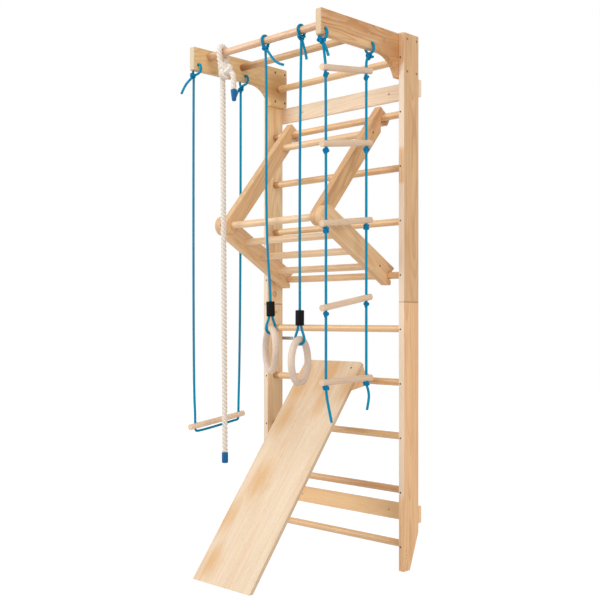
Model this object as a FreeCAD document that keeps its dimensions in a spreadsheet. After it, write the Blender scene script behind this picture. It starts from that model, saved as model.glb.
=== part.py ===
"""Wall-hung climbing frame for a children's room.

Right is +X, the wall is at +Y and the floor is Z = 0. Lengths are millimetres.
Two uprights carry ten rungs. Two arms at the top carry two bars, from which a
trapeze, a rope, two rings and a rope ladder hang. A bar unit hooks on the second
rung and a slide hooks on the seventh.
"""
import FreeCAD
import Part
import math
import os

SIZES = {
    "wall ladder": (
        ("overall_height", 2200),
        ("overall_width", 830),
        ("board_thickness", 28),
        ("upright_depth", 98),
        ("upright_joint_height", 1100),
        ("skirting_cut_height", 150),
        ("skirting_cut_depth", 58),
        ("edge_round", 2.5),
        ("rung_diameter", 30),
        ("rung_pitch", 222.4),
        ("top_rung_drop", 98),
        ("rung_socket", 18),
        ("wood_clearance", 0.15),
        ("plank_height", 70),
        ("plank_thickness", 18),
        ("upper_plank_drop", 212),
        ("lower_plank_height", 219),
        ("wall_hole_inset", 158),
        ("wall_hole_diameter", 9),
        ("joint_dowel_diameter", 12),
        ("joint_dowel_length", 80),
        ("joint_dowel_spacing", 50),
    ),
    "arms": (
        ("arm_reach", 465),
        ("arm_height", 99),
        ("bracket_height", 180),
        ("bracket_lead", 4),
        ("arch_radius", 115),
        ("bracket_corner", 10),
        ("arm_tip_corner", 4),
        ("front_bar_setback", 87),
        ("front_bar_drop", 30),
        ("middle_bar_setback", 279),
        ("middle_bar_drop", 40),
        ("cord_hole_diameter", 13),
        ("cord_hole_height", 24),
        ("front_hole_setback", 24),
        ("back_hole_setback", 297),
    ),
    "fasteners": (
        ("bolt_diameter", 6),
        ("bolt_head_diameter", 11),
        ("bolt_head_depth", 4),
        ("bolt_socket_width", 4),
        ("bolt_socket_depth", 2.5),
        ("nut_reach", 14),
        ("nut_sleeve_diameter", 8.5),
        ("bolt_top_drop", 24),
        ("bolt_row_gap", 133),
        ("bolt_front_inset", 22),
        ("bolt_back_inset", 14),
        ("screw_diameter", 4),
        ("screw_head_diameter", 8),
        ("screw_head_depth", 2.5),
        ("screw_socket_width", 2.5),
        ("screw_socket_depth", 1.5),
        ("screw_bite", 10),
        ("end_screw_bite", 24),
        ("lock_screw_drop", 2),
        ("strap_height", 15),
        ("strap_thickness", 2),
        ("strap_length", 89),
        ("strap_overhang", 69),
        ("strap_level", 940),
        ("strap_hole_inset", 13),
    ),
    "bar unit": (
        ("unit_board_thickness", 35),
        ("unit_inner_width", 492),
        ("unit_left_inset", 127),
        ("unit_apex_forward", 379),
        ("upper_board_lead", 8),
        ("upper_board_width", 70),
        ("lower_board_width", 86),
        ("unit_hook_size", 45),
        ("unit_notch_size", 40),
        ("hook_clearance", 0.4),
        ("unit_rung_first", 128),
        ("unit_rung_pitch", 118),
        ("upper_bar_distance", 486),
        ("unit_bar_socket", 24),
    ),
    "slide": (
        ("slide_foot_reach", 665),
        ("slide_top_lead", 17),
        ("slide_top_rise", 82.4),
        ("slide_width", 330),
        ("slide_offset", 43),
        ("slide_thickness", 15),
        ("slide_corner", 12),
        ("slide_hook_spacing", 237),
        ("slide_hook_thickness", 28),
        ("slide_hook_size", 60),
        ("slide_hook_top_inset", 6),
        ("slide_hook_length", 150),
        ("slide_screw_inset", 33),
        ("slide_screw_length", 40),
    ),
    "cords and knots": (
        ("cord_diameter", 10),
        ("cord_hole_clearance", 0.4),
        ("knot_diameter", 24),
        ("hanger_knot_diameter", 22),
        ("hanger_knot_drop", 18),
        ("hanger_gap", 0.8),
        ("hanger_bend", 7),
        ("loop_clearance", 0.4),
    ),
    "trapeze": (
        ("trapeze_bar_diameter", 25),
        ("trapeze_bar_length", 313),
        ("trapeze_bar_level", 583),
        ("trapeze_bar_rise", 40),
        ("trapeze_bar_overhang", 30),
        ("trapeze_cord_spacing", 253),
        ("trapeze_cord_bend", 7),
        ("trapeze_hole_clearance", 0.9),
        ("trapeze_lead", 3),
        ("trapeze_outset", 16),
    ),
    "climbing rope": (
        ("rope_diameter", 24),
        ("rope_outset", 268),
        ("rope_lead", 18),
        ("rope_end_level", 415),
        ("rope_drift", 14),
        ("rope_main_offset", 18),
        ("rope_turn_pitch", 36),
        ("rope_quarter_turns", 2),
        ("rope_hitch_reach", 6),
        ("rope_knot_diameter", 54),
        ("rope_knot_drop", 80),
        ("rope_knot_shift", 16),
        ("rope_tail_offset", 70),
        ("rope_tail_level", 1999),
        ("cap_diameter", 27),
        ("cap_length", 47),
    ),
    "rings": (
        ("ring_outer_diameter", 200),
        ("ring_section", 28),
        ("left_ring_turn", 60),
        ("right_ring_turn", 22),
        ("left_ring_inset", 353),
        ("left_ring_low_inset", 385),
        ("left_ring_level", 906),
        ("right_ring_inset", 559),
        ("right_ring_low_inset", 550),
        ("right_ring_level", 864),
        ("ring_knot_drop", 31),
        ("sleeve_diameter", 34),
        ("sleeve_length", 61),
        ("sleeve_to_ring", 33),
        ("sleeve_strand_spacing", 12),
    ),
    "rope ladder": (
        ("ladder_rung_diameter", 25),
        ("ladder_rung_length", 288),
        ("ladder_front_overhang", 24),
        ("ladder_cord_spacing", 235),
        ("ladder_pitch", 303),
        ("ladder_front_drop", 99),
        ("ladder_back_drop", 69),
    ),
}

RUNG_COUNT = 10

# Rungs are counted from the top. The bar unit hooks on one and rests against another below it.
UNIT_HOOK_RUNG = 2
UNIT_RUNGS_BELOW = 3
UNIT_APEX_SHARE = 2 / 3
SLIDE_RUNG = 7

# Ladder rung steps, as shares of the pitch, front cord then back cord.
FRONT_STEP_SHARES = (0.954, 0.993, 1.053, 0.937)
BACK_STEP_SHARES = (0.944, 1.010, 1.013, 1.050)

# Hook outlines as shares of the hook's size, (forward is minus, up is plus), from the rung's axis.
UNIT_HOOK_SHARES = {"peak": (0, 1.0), "back": (1.0, 0), "lip": (0.6, -0.67)}
UNIT_NOTCH_SHARES = {"tip": (0.78, 0), "roof": (0.33, 0), "lip": (0.22, -0.56), "sole": (0.12, -1.0)}
SLIDE_HOOK_SHARES = {"nose": (-0.38, 1.0), "step": (-0.25, 0.72), "crown": (0.22, 0.42),
                     "heel": (0.45, 0.16), "lip": (0.42, -0.27), "sole": (0, -0.4)}

# Free tails beyond a knot: points from the knot's centre, in millimetres, chosen by hand.
TRAPEZE_FRONT_TAIL = ((0, 0, 0), (-6, -22, -24), (-9, -44, -52), (-14, -56, -84))
TRAPEZE_BACK_TAIL = ((0, 0, 0), (4, -20, -12), (6, -34, -30), (6, -40, -54))
LADDER_TOP_TAIL = ((0, 0, 0), (9, 12, -20), (14, 24, -44), (16, 40, -68))
LADDER_FRONT_TAIL = ((0, 0, 0), (2, 3, -34), (3, 12, -72), (5, 26, -128))
LADDER_BACK_TAIL = ((0, 0, 0), (3, 10, -26), (4, 13, -56), (2, 2, -100))
LEFT_RING_TAIL = ((0, 0, 0), (20, 0, -20), (42, 2, -44), (66, 4, -60), (96, 6, -70))
RIGHT_RING_TAIL = ((0, 0, 0), (8, 4, -30), (17, 7, -56), (26, 9, -84))

doc = FreeCAD.newDocument("climbing_frame")
sheet = doc.addObject("Spreadsheet::Sheet", "Sizes")


class Size:
    """A length that knows its number and the sheet expression that gives it."""

    def __init__(self, number, text):
        self.number = float(number)
        self.text = text

    def __float__(self):
        return self.number

    def _join(self, other, sign, number):
        text = other.text if isinstance(other, Size) else str(other)
        return Size(number, "(%s %s %s)" % (self.text, sign, text))

    def __add__(self, other):
        return self._join(other, "+", self.number + float(other))

    def __sub__(self, other):
        return self._join(other, "-", self.number - float(other))

    def __mul__(self, other):
        return self._join(other, "*", self.number * float(other))

    def __truediv__(self, other):
        return self._join(other, "/", self.number / float(other))

    def __neg__(self):
        return Size(-self.number, "(0 - %s)" % self.text)


def fill_sheet():
    """Write each named size into the sheet and return them by name."""
    sizes = {}
    row = 1
    for group, entries in SIZES.items():
        sheet.set("A%d" % row, group)
        row += 1
        for name, number in entries:
            sheet.set("A%d" % row, name.replace("_", " "))
            sheet.set("B%d" % row, str(number))
            sheet.setAlias("B%d" % row, name)
            sizes[name] = Size(number, "Sizes.%s" % name)
            row += 1
    doc.recompute()
    return sizes


S = fill_sheet()
ZERO = Size(0, "0")
V = FreeCAD.Vector

# Main levels and planes, worked out from the sheet.
overall_depth = S["slide_foot_reach"] + S["upright_depth"] + S["plank_thickness"]
wall_y = overall_depth / 2
plank_front_y = wall_y - S["plank_thickness"]
front_y = plank_front_y - S["upright_depth"]
rung_y = front_y + S["upright_depth"] / 2
half_width = S["overall_width"] / 2
inner_x = half_width - S["board_thickness"]
arm_inner_x = inner_x - S["board_thickness"]
arm_front_y = front_y - S["arm_reach"]
arm_under_z = S["overall_height"] - S["arm_height"]
front_bar_y = arm_front_y + S["front_bar_setback"]
front_bar_z = S["overall_height"] - S["front_bar_drop"]
middle_bar_y = arm_front_y + S["middle_bar_setback"]
middle_bar_z = S["overall_height"] - S["middle_bar_drop"]
cord_hole_z = arm_under_z + S["cord_hole_height"]
front_hole_y = arm_front_y + S["front_hole_setback"]
back_hole_y = arm_front_y + S["back_hole_setback"]
hanger_z = arm_under_z - S["hanger_knot_drop"]
rung_radius = S["rung_diameter"] / 2
cord_radius = S["cord_diameter"] / 2
hook_radius = float(rung_radius) + float(S["hook_clearance"])


def rung_z(count):
    """Height of a wall rung, counted from the top."""
    return S["overall_height"] - S["top_rung_drop"] - S["rung_pitch"] * (count - 1)


def bind(item, name, size):
    """Set a property now and keep it tied to the sheet."""
    item.setExpression(name, size.text)


def place(item, x=ZERO, y=ZERO, z=ZERO, rotation=None):
    """Put an object at a bound place, with an optional fixed turn."""
    item.Placement = FreeCAD.Placement(V(float(x), float(y), float(z)), rotation or FreeCAD.Rotation())
    bind(item, "Placement.Base.x", x)
    bind(item, "Placement.Base.y", y)
    bind(item, "Placement.Base.z", z)


ALONG_X = FreeCAD.Rotation(V(0, 1, 0), 90)
ALONG_BACK = FreeCAD.Rotation(V(1, 0, 0), -90)


def new_object(kind, label):
    item = doc.addObject(kind, label)
    item.Label = label
    return item


def box(label, length, depth, height, x, y, z):
    item = new_object("Part::Box", label)
    bind(item, "Length", length)
    bind(item, "Width", depth)
    bind(item, "Height", height)
    place(item, x, y, z)
    return item


def rod(label, diameter, length, x, y, z, rotation=ALONG_X):
    """A round bar that starts at a point and runs along X unless it is turned."""
    item = new_object("Part::Cylinder", label)
    bind(item, "Radius", diameter / 2)
    bind(item, "Height", length)
    place(item, x, y, z, rotation)
    return item


def group(label, items):
    """Separate solids under one name."""
    item = new_object("Part::Compound", label)
    item.Links = items
    return item


def fused(label, items):
    item = new_object("Part::MultiFuse", label)
    item.Shapes = items
    return item


def cut(label, base, tools):
    """The base less all its tools."""
    item = new_object("Part::Cut", label)
    item.Base = base
    item.Tool = tools[0] if len(tools) == 1 else fused(label + "_tools", tools)
    return item


def outline_edges(steps):
    """Edges through a closed list of steps. A step is a point, or a pair of an arc's middle and end."""
    edges = []
    start = steps[0]
    for step in list(steps[1:]) + [steps[0]]:
        if isinstance(step[0], tuple):
            middle, end = step
            edges.append(Part.Arc(V(*start, 0), V(*middle, 0), V(*end, 0)))
            start = end
        elif step != start:
            edges.append(Part.LineSegment(V(*start, 0), V(*step, 0)))
            start = step
    return edges


def corner_names(shape, corners, reach):
    """Names of a pad's edges that run along X through the given (y, z) corners."""
    names = []
    for index, edge in enumerate(shape.Edges):
        first, last = edge.Vertexes[0].Point, edge.Vertexes[-1].Point
        if abs(first.x - last.x) < reach:
            continue
        if any(math.hypot(first.y - y, first.z - z) < 1e-3 for y, z in corners):
            names.append("Edge%d" % (index + 1))
    return names


def rim_names(shape, thickness):
    """Names of a pad's edges that lie in its two broad faces."""
    names = []
    for index, edge in enumerate(shape.Edges):
        xs = [vertex.Point.x for vertex in edge.Vertexes]
        flat = abs(xs[0] - xs[-1]) < 1e-6
        if flat and min(abs(xs[0]), abs(xs[0] - thickness)) < 1e-6:
            names.append("Edge%d" % (index + 1))
    return names


def board(label, steps, thickness, x, corner_sets=(), rounded=True):
    """A board cut to an outline in the Y-Z plane and padded along X, its long edges eased."""
    body = new_object("PartDesign::Body", label)
    plane = next(item for item in body.Origin.OriginFeatures if item.Role == "YZ_Plane")
    sketch = body.newObject("Sketcher::SketchObject", label + "_outline")
    sketch.AttachmentSupport = (plane, [""])
    sketch.MapMode = "FlatFace"
    for edge in outline_edges(steps):
        sketch.addGeometry(edge, False)
    pad = body.newObject("PartDesign::Pad", label + "_pad")
    pad.Profile = sketch
    pad.setExpression("Length", thickness.text)
    doc.recompute()
    last = pad
    for index, (corners, radius) in enumerate(corner_sets):
        turned = body.newObject("PartDesign::Fillet", "%s_corners_%d" % (label, index + 1))
        turned.Base = (last, corner_names(last.Shape, corners, float(thickness) / 2))
        turned.setExpression("Radius", radius.text)
        doc.recompute()
        last = turned
    if rounded:
        eased = body.newObject("PartDesign::Fillet", label + "_eased")
        eased.Base = (last, rim_names(last.Shape, float(thickness)))
        eased.setExpression("Radius", S["edge_round"].text)
        last = eased
    body.Tip = last
    bind(body, "Placement.Base.x", x)
    doc.recompute()
    return body


NODES = []


def keep(item, name):
    """Name a finished piece, so that it is written out under that name."""
    item.Label = name
    NODES.append(item)
    return item


def feature(label, shape):
    item = new_object("Part::Feature", label)
    item.Shape = shape
    return item


# Screws are countersunk, with a six-sided socket. A hole has the same shape with a little room.

SPARE = float(S["wood_clearance"])


def socket_shape(width, depth, point, direction):
    """A six-sided recess in a head's outer face."""
    turn = FreeCAD.Rotation(V(0, 0, 1), direction)
    radius = float(width) / math.sqrt(3)
    corners = [V(radius * math.cos(step * math.pi / 3), radius * math.sin(step * math.pi / 3), 0)
               for step in range(7)]
    face = Part.Face(Part.makePolygon([point + turn.multVec(corner) for corner in corners]))
    return face.extrude(direction * float(depth))


def screw_shape(point, direction, length):
    """A countersunk screw from its head's outer face inwards."""
    head = float(S["screw_head_diameter"]) / 2
    shank = float(S["screw_diameter"]) / 2
    cone = Part.makeCone(head, shank, float(S["screw_head_depth"]), point, direction)
    stem = Part.makeCylinder(shank, length, point, direction)
    socket = socket_shape(S["screw_socket_width"], S["screw_socket_depth"], point, direction)
    return cone.fuse(stem).removeSplitter().cut(socket)


def screw_hole(point, direction, length):
    """The hole that a screw sits in."""
    head = float(S["screw_head_diameter"]) / 2 + SPARE
    shank = float(S["screw_diameter"]) / 2 + SPARE
    cone = Part.makeCone(head, shank, float(S["screw_head_depth"]) + SPARE, point, direction)
    stem = Part.makeCylinder(shank, length + SPARE, point, direction)
    return cone.fuse(stem).removeSplitter()


def screws_and_holes(label, spots):
    """Solids and holes for screws given as (point, direction, length)."""
    solids = [screw_shape(*spot) for spot in spots]
    holes = [screw_hole(*spot) for spot in spots]
    return feature(label, Part.makeCompound(solids)), holes


def touching(holes, base):
    """The holes that reach into a piece, as one tool."""
    reached = [hole for hole in holes if hole.BoundBox.intersect(base.Shape.BoundBox)]
    return Part.makeCompound(reached)


def drilled(label, base, tools, holes=()):
    """A piece less its round tools and less the screw holes that reach it."""
    doc.recompute()
    tools = list(tools)
    if holes:
        tool = touching(holes, base)
        if tool.Solids:
            tools.append(feature(label + "_screw_holes", tool))
    return cut(label, base, tools) if tools else base


# Wall ladder

rung_hole_diameter = S["rung_diameter"] + S["wood_clearance"] * 2
rung_length = inner_x * 2 + S["rung_socket"] * 2
rung_start_x = -inner_x - S["rung_socket"]


def socket_tools(prefix, levels, y=None, start_x=None, length=None):
    """Round tools through both sides for the given (name, height) pairs."""
    return [rod("%s_socket_%s" % (prefix, name), rung_hole_diameter,
                (length or rung_length) + S["wood_clearance"] * 2,
                (start_x or rung_start_x) - S["wood_clearance"], y or rung_y, level)
            for name, level in levels]


def lock_screw_spots():
    """One screw from the front of each upright into each rung's end."""
    spots = []
    for count in range(1, RUNG_COUNT + 1):
        level = float(rung_z(count) - S["lock_screw_drop"])
        reach = float(rung_y - front_y - rung_radius + S["screw_bite"])
        for side in (-1, 1):
            x = side * float(inner_x + S["rung_socket"] / 2)
            spots.append((V(x, float(front_y), level), V(0, 1, 0), reach))
    return spots


def plank_screw_spots():
    """Two screws from the back of each plank into each upright."""
    spots = []
    for level in (S["overall_height"] - S["upper_plank_drop"], S["lower_plank_height"]):
        for side in (-1, 1):
            for rise in (-1, 1):
                x = side * float(half_width - S["board_thickness"] / 2)
                z = float(level) + rise * float(S["plank_height"]) / 4
                length = float(S["plank_thickness"] + S["screw_bite"] * 2)
                spots.append((V(x, float(wall_y), z), V(0, -1, 0), length))
    return spots


def strap_screw_spots():
    """One screw through each strap into the upright's back edge."""
    reach = float(S["strap_thickness"] + S["screw_bite"] * 2)
    fixed = S["strap_length"] - S["strap_overhang"]
    outer = float(plank_front_y + S["strap_thickness"] + S["screw_head_depth"])
    return [(V(side * float(inner_x + fixed / 2), outer, float(S["strap_level"])), V(0, -1, 0),
             reach + float(S["screw_head_depth"])) for side in (-1, 1)]


def bolt_spots():
    """Four bolts a side, from the upright's outer face through the arm."""
    spots = []
    for drop in (S["bolt_top_drop"], S["bolt_top_drop"] + S["bolt_row_gap"]):
        for y in (front_y + S["bolt_front_inset"], plank_front_y - S["bolt_back_inset"]):
            for side in (-1, 1):
                spots.append((V(side * float(half_width), float(y), float(S["overall_height"] - drop)),
                              V(-side, 0, 0)))
    return spots


def round_steps(point, direction, steps):
    """Round stretches on one axis, each given as (start, length, diameter), joined in one solid."""
    parts = [Part.makeCylinder(width / 2, length, point + direction * start, direction)
             for start, length, width in steps]
    return parts[0].multiFuse(parts[1:]).removeSplitter() if len(parts) > 1 else parts[0]


def bolt_parts(point, direction):
    """A bolt with a sunk head at the upright, its sleeve nut sunk in the arm, and their hole."""
    through = float(S["board_thickness"] * 2)
    head, head_depth = float(S["bolt_head_diameter"]), float(S["bolt_head_depth"])
    shank, sleeve, reach = float(S["bolt_diameter"]), float(S["nut_sleeve_diameter"]), float(S["nut_reach"])
    shank_length = through - head_depth - SPARE
    bolt = round_steps(point, direction, [(0, head_depth, head), (0, shank_length, shank)])
    bolt = bolt.cut(socket_shape(S["bolt_socket_width"], S["bolt_socket_depth"], point, direction))
    far, back = point + direction * through, direction * -1
    nut = round_steps(far, back, [(0, head_depth, head), (0, reach, sleeve)])
    thread = Part.makeCylinder(shank / 2 + SPARE, reach - head_depth, far + back * head_depth, back)
    nut = nut.cut(thread.fuse(socket_shape(S["bolt_socket_width"], S["bolt_socket_depth"], far, back)))
    room = SPARE * 2
    hole = round_steps(point, direction, [
        (0, head_depth + SPARE, head + room), (0, through, shank + room),
        (through - reach - SPARE, reach + SPARE, sleeve + room),
        (through - head_depth - SPARE, head_depth + SPARE, head + room)])
    return bolt, nut, hole


lock_screws, lock_holes = screws_and_holes("lock_screw_set", lock_screw_spots())
plank_screws, plank_holes = screws_and_holes("plank_screw_set", plank_screw_spots())
strap_screws, strap_holes = screws_and_holes("strap_screw_set", strap_screw_spots())
bolt_sets = [bolt_parts(*spot) for spot in bolt_spots()]
bolt_holes = [hole for bolt, nut, hole in bolt_sets]
bolts = feature("bolt_set", Part.makeCompound([bolt for bolt, nut, hole in bolt_sets]))
nuts = feature("nut_set", Part.makeCompound([nut for bolt, nut, hole in bolt_sets]))


def upright(side, part):
    """One half of an upright, its rungs' sockets cut and its screw holes drilled."""
    y0, y1 = float(front_y), float(plank_front_y)
    if part == "lower":
        bottom, top = ZERO, S["upright_joint_height"]
        steps = [(y0, 0), (y1 - float(S["skirting_cut_depth"]), 0), (y1, float(S["skirting_cut_height"])),
                 (y1, float(top)), (y0, float(top))]
    else:
        bottom, top = S["upright_joint_height"], S["overall_height"]
        steps = [(y0, float(bottom)), (y1, float(bottom)), (y1, float(top)), (y0, float(top))]
    name = "%s_upright_%s" % ("left" if side < 0 else "right", part)
    x = inner_x if side > 0 else -half_width
    plain = board(name + "_board", steps, S["board_thickness"], x)
    levels = [("%d" % count, rung_z(count)) for count in range(1, RUNG_COUNT + 1)
              if float(bottom) < float(rung_z(count)) < float(top)]
    tools = socket_tools(name, levels)
    for mark in (-1, 1):
        tools.append(rod("%s_dowel_hole_%d" % (name, mark), S["joint_dowel_diameter"] + S["wood_clearance"] * 2,
                         S["joint_dowel_length"] + S["wood_clearance"] * 2,
                         x + S["board_thickness"] / 2, rung_y + S["joint_dowel_spacing"] / 2 * mark,
                         S["upright_joint_height"] - S["joint_dowel_length"] / 2 - S["wood_clearance"],
                         FreeCAD.Rotation()))
    holes = lock_holes + plank_holes + strap_holes + bolt_holes
    keep(drilled(name, plain, tools, holes), name)


def joint_dowels():
    dowels = []
    for side in (-1, 1):
        for mark in (-1, 1):
            x = (inner_x + S["board_thickness"] / 2) * side
            dowels.append(rod("joint_dowel_%d_%d" % (side + 2, mark + 2), S["joint_dowel_diameter"],
                              S["joint_dowel_length"], x, rung_y + S["joint_dowel_spacing"] / 2 * mark,
                              S["upright_joint_height"] - S["joint_dowel_length"] / 2, FreeCAD.Rotation()))
    keep(group("upright_dowels", dowels), "upright_dowels")


def wall_rungs():
    for count in range(1, RUNG_COUNT + 1):
        name = "wall_rung_%02d" % count
        plain = rod(name + "_dowel", S["rung_diameter"], rung_length, rung_start_x, rung_y, rung_z(count))
        keep(drilled(name, plain, [], lock_holes), name)


def wall_planks():
    for name, level in (("upper_wall_plank", S["overall_height"] - S["upper_plank_drop"]),
                        ("lower_wall_plank", S["lower_plank_height"])):
        plain = box(name + "_board", S["overall_width"], S["plank_thickness"], S["plank_height"],
                    -half_width, plank_front_y, level - S["plank_height"] / 2)
        eased = new_object("Part::Fillet", name + "_eased")
        eased.Base = plain
        doc.recompute()
        radius = float(S["edge_round"])
        eased.Edges = [(index + 1, radius, radius) for index, edge in enumerate(plain.Shape.Edges)
                       if edge.Length > float(S["overall_width"]) / 2]
        tools = [rod("%s_hole_%d" % (name, side + 2), S["wall_hole_diameter"],
                     S["plank_thickness"] * 2, (half_width - S["wall_hole_inset"]) * side,
                     plank_front_y - S["plank_thickness"] / 2, level, ALONG_BACK) for side in (-1, 1)]
        keep(drilled(name, eased, tools, plank_holes), name)


def wall_straps():
    """Flat steel straps on the uprights' back edges, each with a free screw hole at its inner end."""
    straps = []
    fixed = S["strap_length"] - S["strap_overhang"]
    for side in (-1, 1):
        start = inner_x * side - (S["strap_overhang"] if side > 0 else fixed)
        plain = box("strap_%d" % (side + 2), S["strap_length"], S["strap_thickness"], S["strap_height"],
                    start, plank_front_y, S["strap_level"] - S["strap_height"] / 2)
        hole_x = (inner_x - S["strap_overhang"] + S["strap_hole_inset"]) * side
        tools = [rod("strap_hole_%d" % (side + 2), S["screw_diameter"] + S["wood_clearance"] * 4,
                     S["strap_thickness"] * 3, hole_x, plank_front_y - S["strap_thickness"],
                     S["strap_level"], ALONG_BACK)]
        straps.append(drilled("strap_drilled_%d" % (side + 2), plain, tools, strap_holes))
    keep(group("wall_straps", straps), "wall_straps")


# Arms and their bars

bar_length = arm_inner_x * 2 + S["rung_socket"] * 2
bar_start_x = -arm_inner_x - S["rung_socket"]


def bar_screw_spots():
    """A screw through each arm's outer face into each bar's end, where the upright leaves it free."""
    spots = []
    for y, z in ((front_bar_y, front_bar_z), (middle_bar_y, middle_bar_z)):
        for side in (-1, 1):
            length = float(S["board_thickness"] - S["rung_socket"] + S["end_screw_bite"])
            spots.append((V(side * float(inner_x), float(y), float(z)), V(-side, 0, 0), length))
    return spots


bar_screws, bar_holes = screws_and_holes("bar_screw_set", bar_screw_spots())


def arm(side):
    """A bracket plate and arm in one board, with an arched inner corner."""
    name = "%s_arm" % ("left" if side < 0 else "right")
    top = float(S["overall_height"])
    front, back = float(arm_front_y), float(plank_front_y)
    under, foot = float(arm_under_z), top - float(S["bracket_height"])
    leg = float(front_y - S["bracket_lead"])
    radius = float(S["arch_radius"])
    fall = under - foot
    run = math.sqrt(radius ** 2 - (radius - fall) ** 2)
    half_turn = math.acos((radius - fall) / radius) / 2
    middle = (leg - run + radius * math.sin(half_turn), under - radius + radius * math.cos(half_turn))
    steps = [(front, under), (leg - run, under), (middle, (leg, foot)), (back, foot), (back, top), (front, top)]
    corner_sets = [([(back, foot), (back, top)], S["bracket_corner"]),
                   ([(leg, foot), (front, under), (front, top)], S["arm_tip_corner"])]
    x = -inner_x if side < 0 else arm_inner_x
    plain = board(name + "_board", steps, S["board_thickness"], x, corner_sets)
    tools = socket_tools(name, [("rung", rung_z(1))])
    tools += socket_tools(name + "_front", [("bar", front_bar_z)], front_bar_y, bar_start_x, bar_length)
    tools += socket_tools(name + "_middle", [("bar", middle_bar_z)], middle_bar_y, bar_start_x, bar_length)
    for mark, y in (("front", front_hole_y), ("back", back_hole_y)):
        tools.append(rod("%s_cord_hole_%s" % (name, mark), S["cord_hole_diameter"], S["board_thickness"] * 2,
                         x - S["board_thickness"] / 2, y, cord_hole_z))
    keep(drilled(name, plain, tools, bolt_holes + bar_holes), name)


def arm_bars():
    for name, y, z in (("front_bar", front_bar_y, front_bar_z), ("middle_bar", middle_bar_y, middle_bar_z)):
        plain = rod(name + "_dowel", S["rung_diameter"], bar_length, bar_start_x, y, z)
        keep(drilled(name, plain, [], bar_holes), name)


# Bar unit: two V-shaped sides that hook on the second rung and rest against the fifth

unit_left_x = S["unit_left_inset"] - inner_x
unit_right_x = unit_left_x + S["unit_inner_width"]
hook_y, hook_z = float(rung_y), float(rung_z(UNIT_HOOK_RUNG))
notch_y, notch_z = float(rung_y), float(rung_z(UNIT_HOOK_RUNG + UNIT_RUNGS_BELOW))
apex_y = float(rung_y - S["unit_apex_forward"])
apex_z = hook_z - (hook_z - notch_z) * UNIT_APEX_SHARE


def lean(start, end):
    """Unit direction and left-hand normal between two (y, z) points."""
    dy, dz = end[0] - start[0], end[1] - start[1]
    run = math.hypot(dy, dz)
    return (dy / run, dz / run), (-dz / run, dy / run)


def along(point, direction, distance):
    return (point[0] + direction[0] * distance, point[1] + direction[1] * distance)


def at_height(point, direction, z):
    """Where a line through a point reaches a height."""
    return (point[0] + direction[0] * (z - point[1]) / direction[1], z)


def at_depth(point, direction, y):
    return (y, point[1] + direction[1] * (y - point[0]) / direction[0])


APEX = (apex_y, apex_z)
UPPER_WAY, UPPER_SIDE = lean(APEX, (hook_y - float(S["upper_board_lead"]), hook_z))
LOWER_WAY, LOWER_SIDE = lean(APEX, (notch_y, notch_z))


def shared(shares, size, name, centre):
    """A point given as shares of a hook's size from the rung's axis."""
    y_share, z_share = shares[name]
    return (centre[0] + y_share * float(S[size]), centre[1] + z_share * float(S[size]))


def upper_board_outline():
    half = float(S["upper_board_width"]) / 2
    front_start = along(APEX, UPPER_SIDE, half)
    back_start = along(APEX, UPPER_SIDE, -half)
    centre = (hook_y, hook_z)
    peak = at_height(front_start, UPPER_WAY, shared(UNIT_HOOK_SHARES, "unit_hook_size", "peak", centre)[1])
    lip = shared(UNIT_HOOK_SHARES, "unit_hook_size", "lip", centre)
    return [front_start, peak, shared(UNIT_HOOK_SHARES, "unit_hook_size", "back", centre), lip,
            (hook_y + hook_radius, lip[1]), (hook_y + hook_radius, hook_z),
            ((hook_y, hook_z + hook_radius), (hook_y - hook_radius, hook_z)),
            at_depth(back_start, UPPER_WAY, hook_y - hook_radius), back_start,
            (along(APEX, UPPER_WAY, -half), front_start)]


def lower_board_outline():
    half = float(S["lower_board_width"]) / 2
    top_start = along(APEX, LOWER_SIDE, half)
    low_start = along(APEX, LOWER_SIDE, -half)
    centre = (notch_y, notch_z)
    tip_y = shared(UNIT_NOTCH_SHARES, "unit_notch_size", "tip", centre)[0]
    roof_y = shared(UNIT_NOTCH_SHARES, "unit_notch_size", "roof", centre)[0]
    sole = shared(UNIT_NOTCH_SHARES, "unit_notch_size", "sole", centre)
    return [top_start, (along(APEX, LOWER_WAY, -half), low_start),
            at_height(low_start, LOWER_WAY, sole[1]), sole,
            shared(UNIT_NOTCH_SHARES, "unit_notch_size", "lip", centre), (notch_y, notch_z - hook_radius),
            ((notch_y - hook_radius, notch_z), (notch_y, notch_z + hook_radius)),
            (roof_y, notch_z + hook_radius), at_depth(top_start, LOWER_WAY, tip_y)]


def unit_bar_places():
    """Each bar of the unit: its name, its (y, z) and whether the upper boards carry it."""
    first, pitch = float(S["unit_rung_first"]), float(S["unit_rung_pitch"])
    upper = along(APEX, UPPER_WAY, float(S["upper_bar_distance"]))
    places = [("unit_upper_bar", upper, True)]
    for count in range(3):
        places.append(("unit_lower_bar_%d" % (count + 1), along(APEX, LOWER_WAY, first + pitch * count), False))
    return places


def plain_size(number):
    """A worked-out number as a size, for places that the sheet's shares and angles give."""
    return Size(number, repr(number))


def unit_screw_spots():
    """Screws through the boards' outer faces into the upper bar and the lowest bar."""
    spots = []
    length = float(S["unit_board_thickness"] - S["unit_bar_socket"] + S["end_screw_bite"])
    for name, (y, z), upper in unit_bar_places():
        if name not in ("unit_upper_bar", "unit_lower_bar_3"):
            continue
        outset = float(S["unit_board_thickness"]) * (1 if upper else 2)
        spots.append((V(float(unit_right_x) + outset, y, z), V(-1, 0, 0), length))
        spots.append((V(float(unit_left_x) - outset, y, z), V(1, 0, 0), length))
    return spots


unit_screws, unit_holes = screws_and_holes("unit_screw_set", unit_screw_spots())


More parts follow.
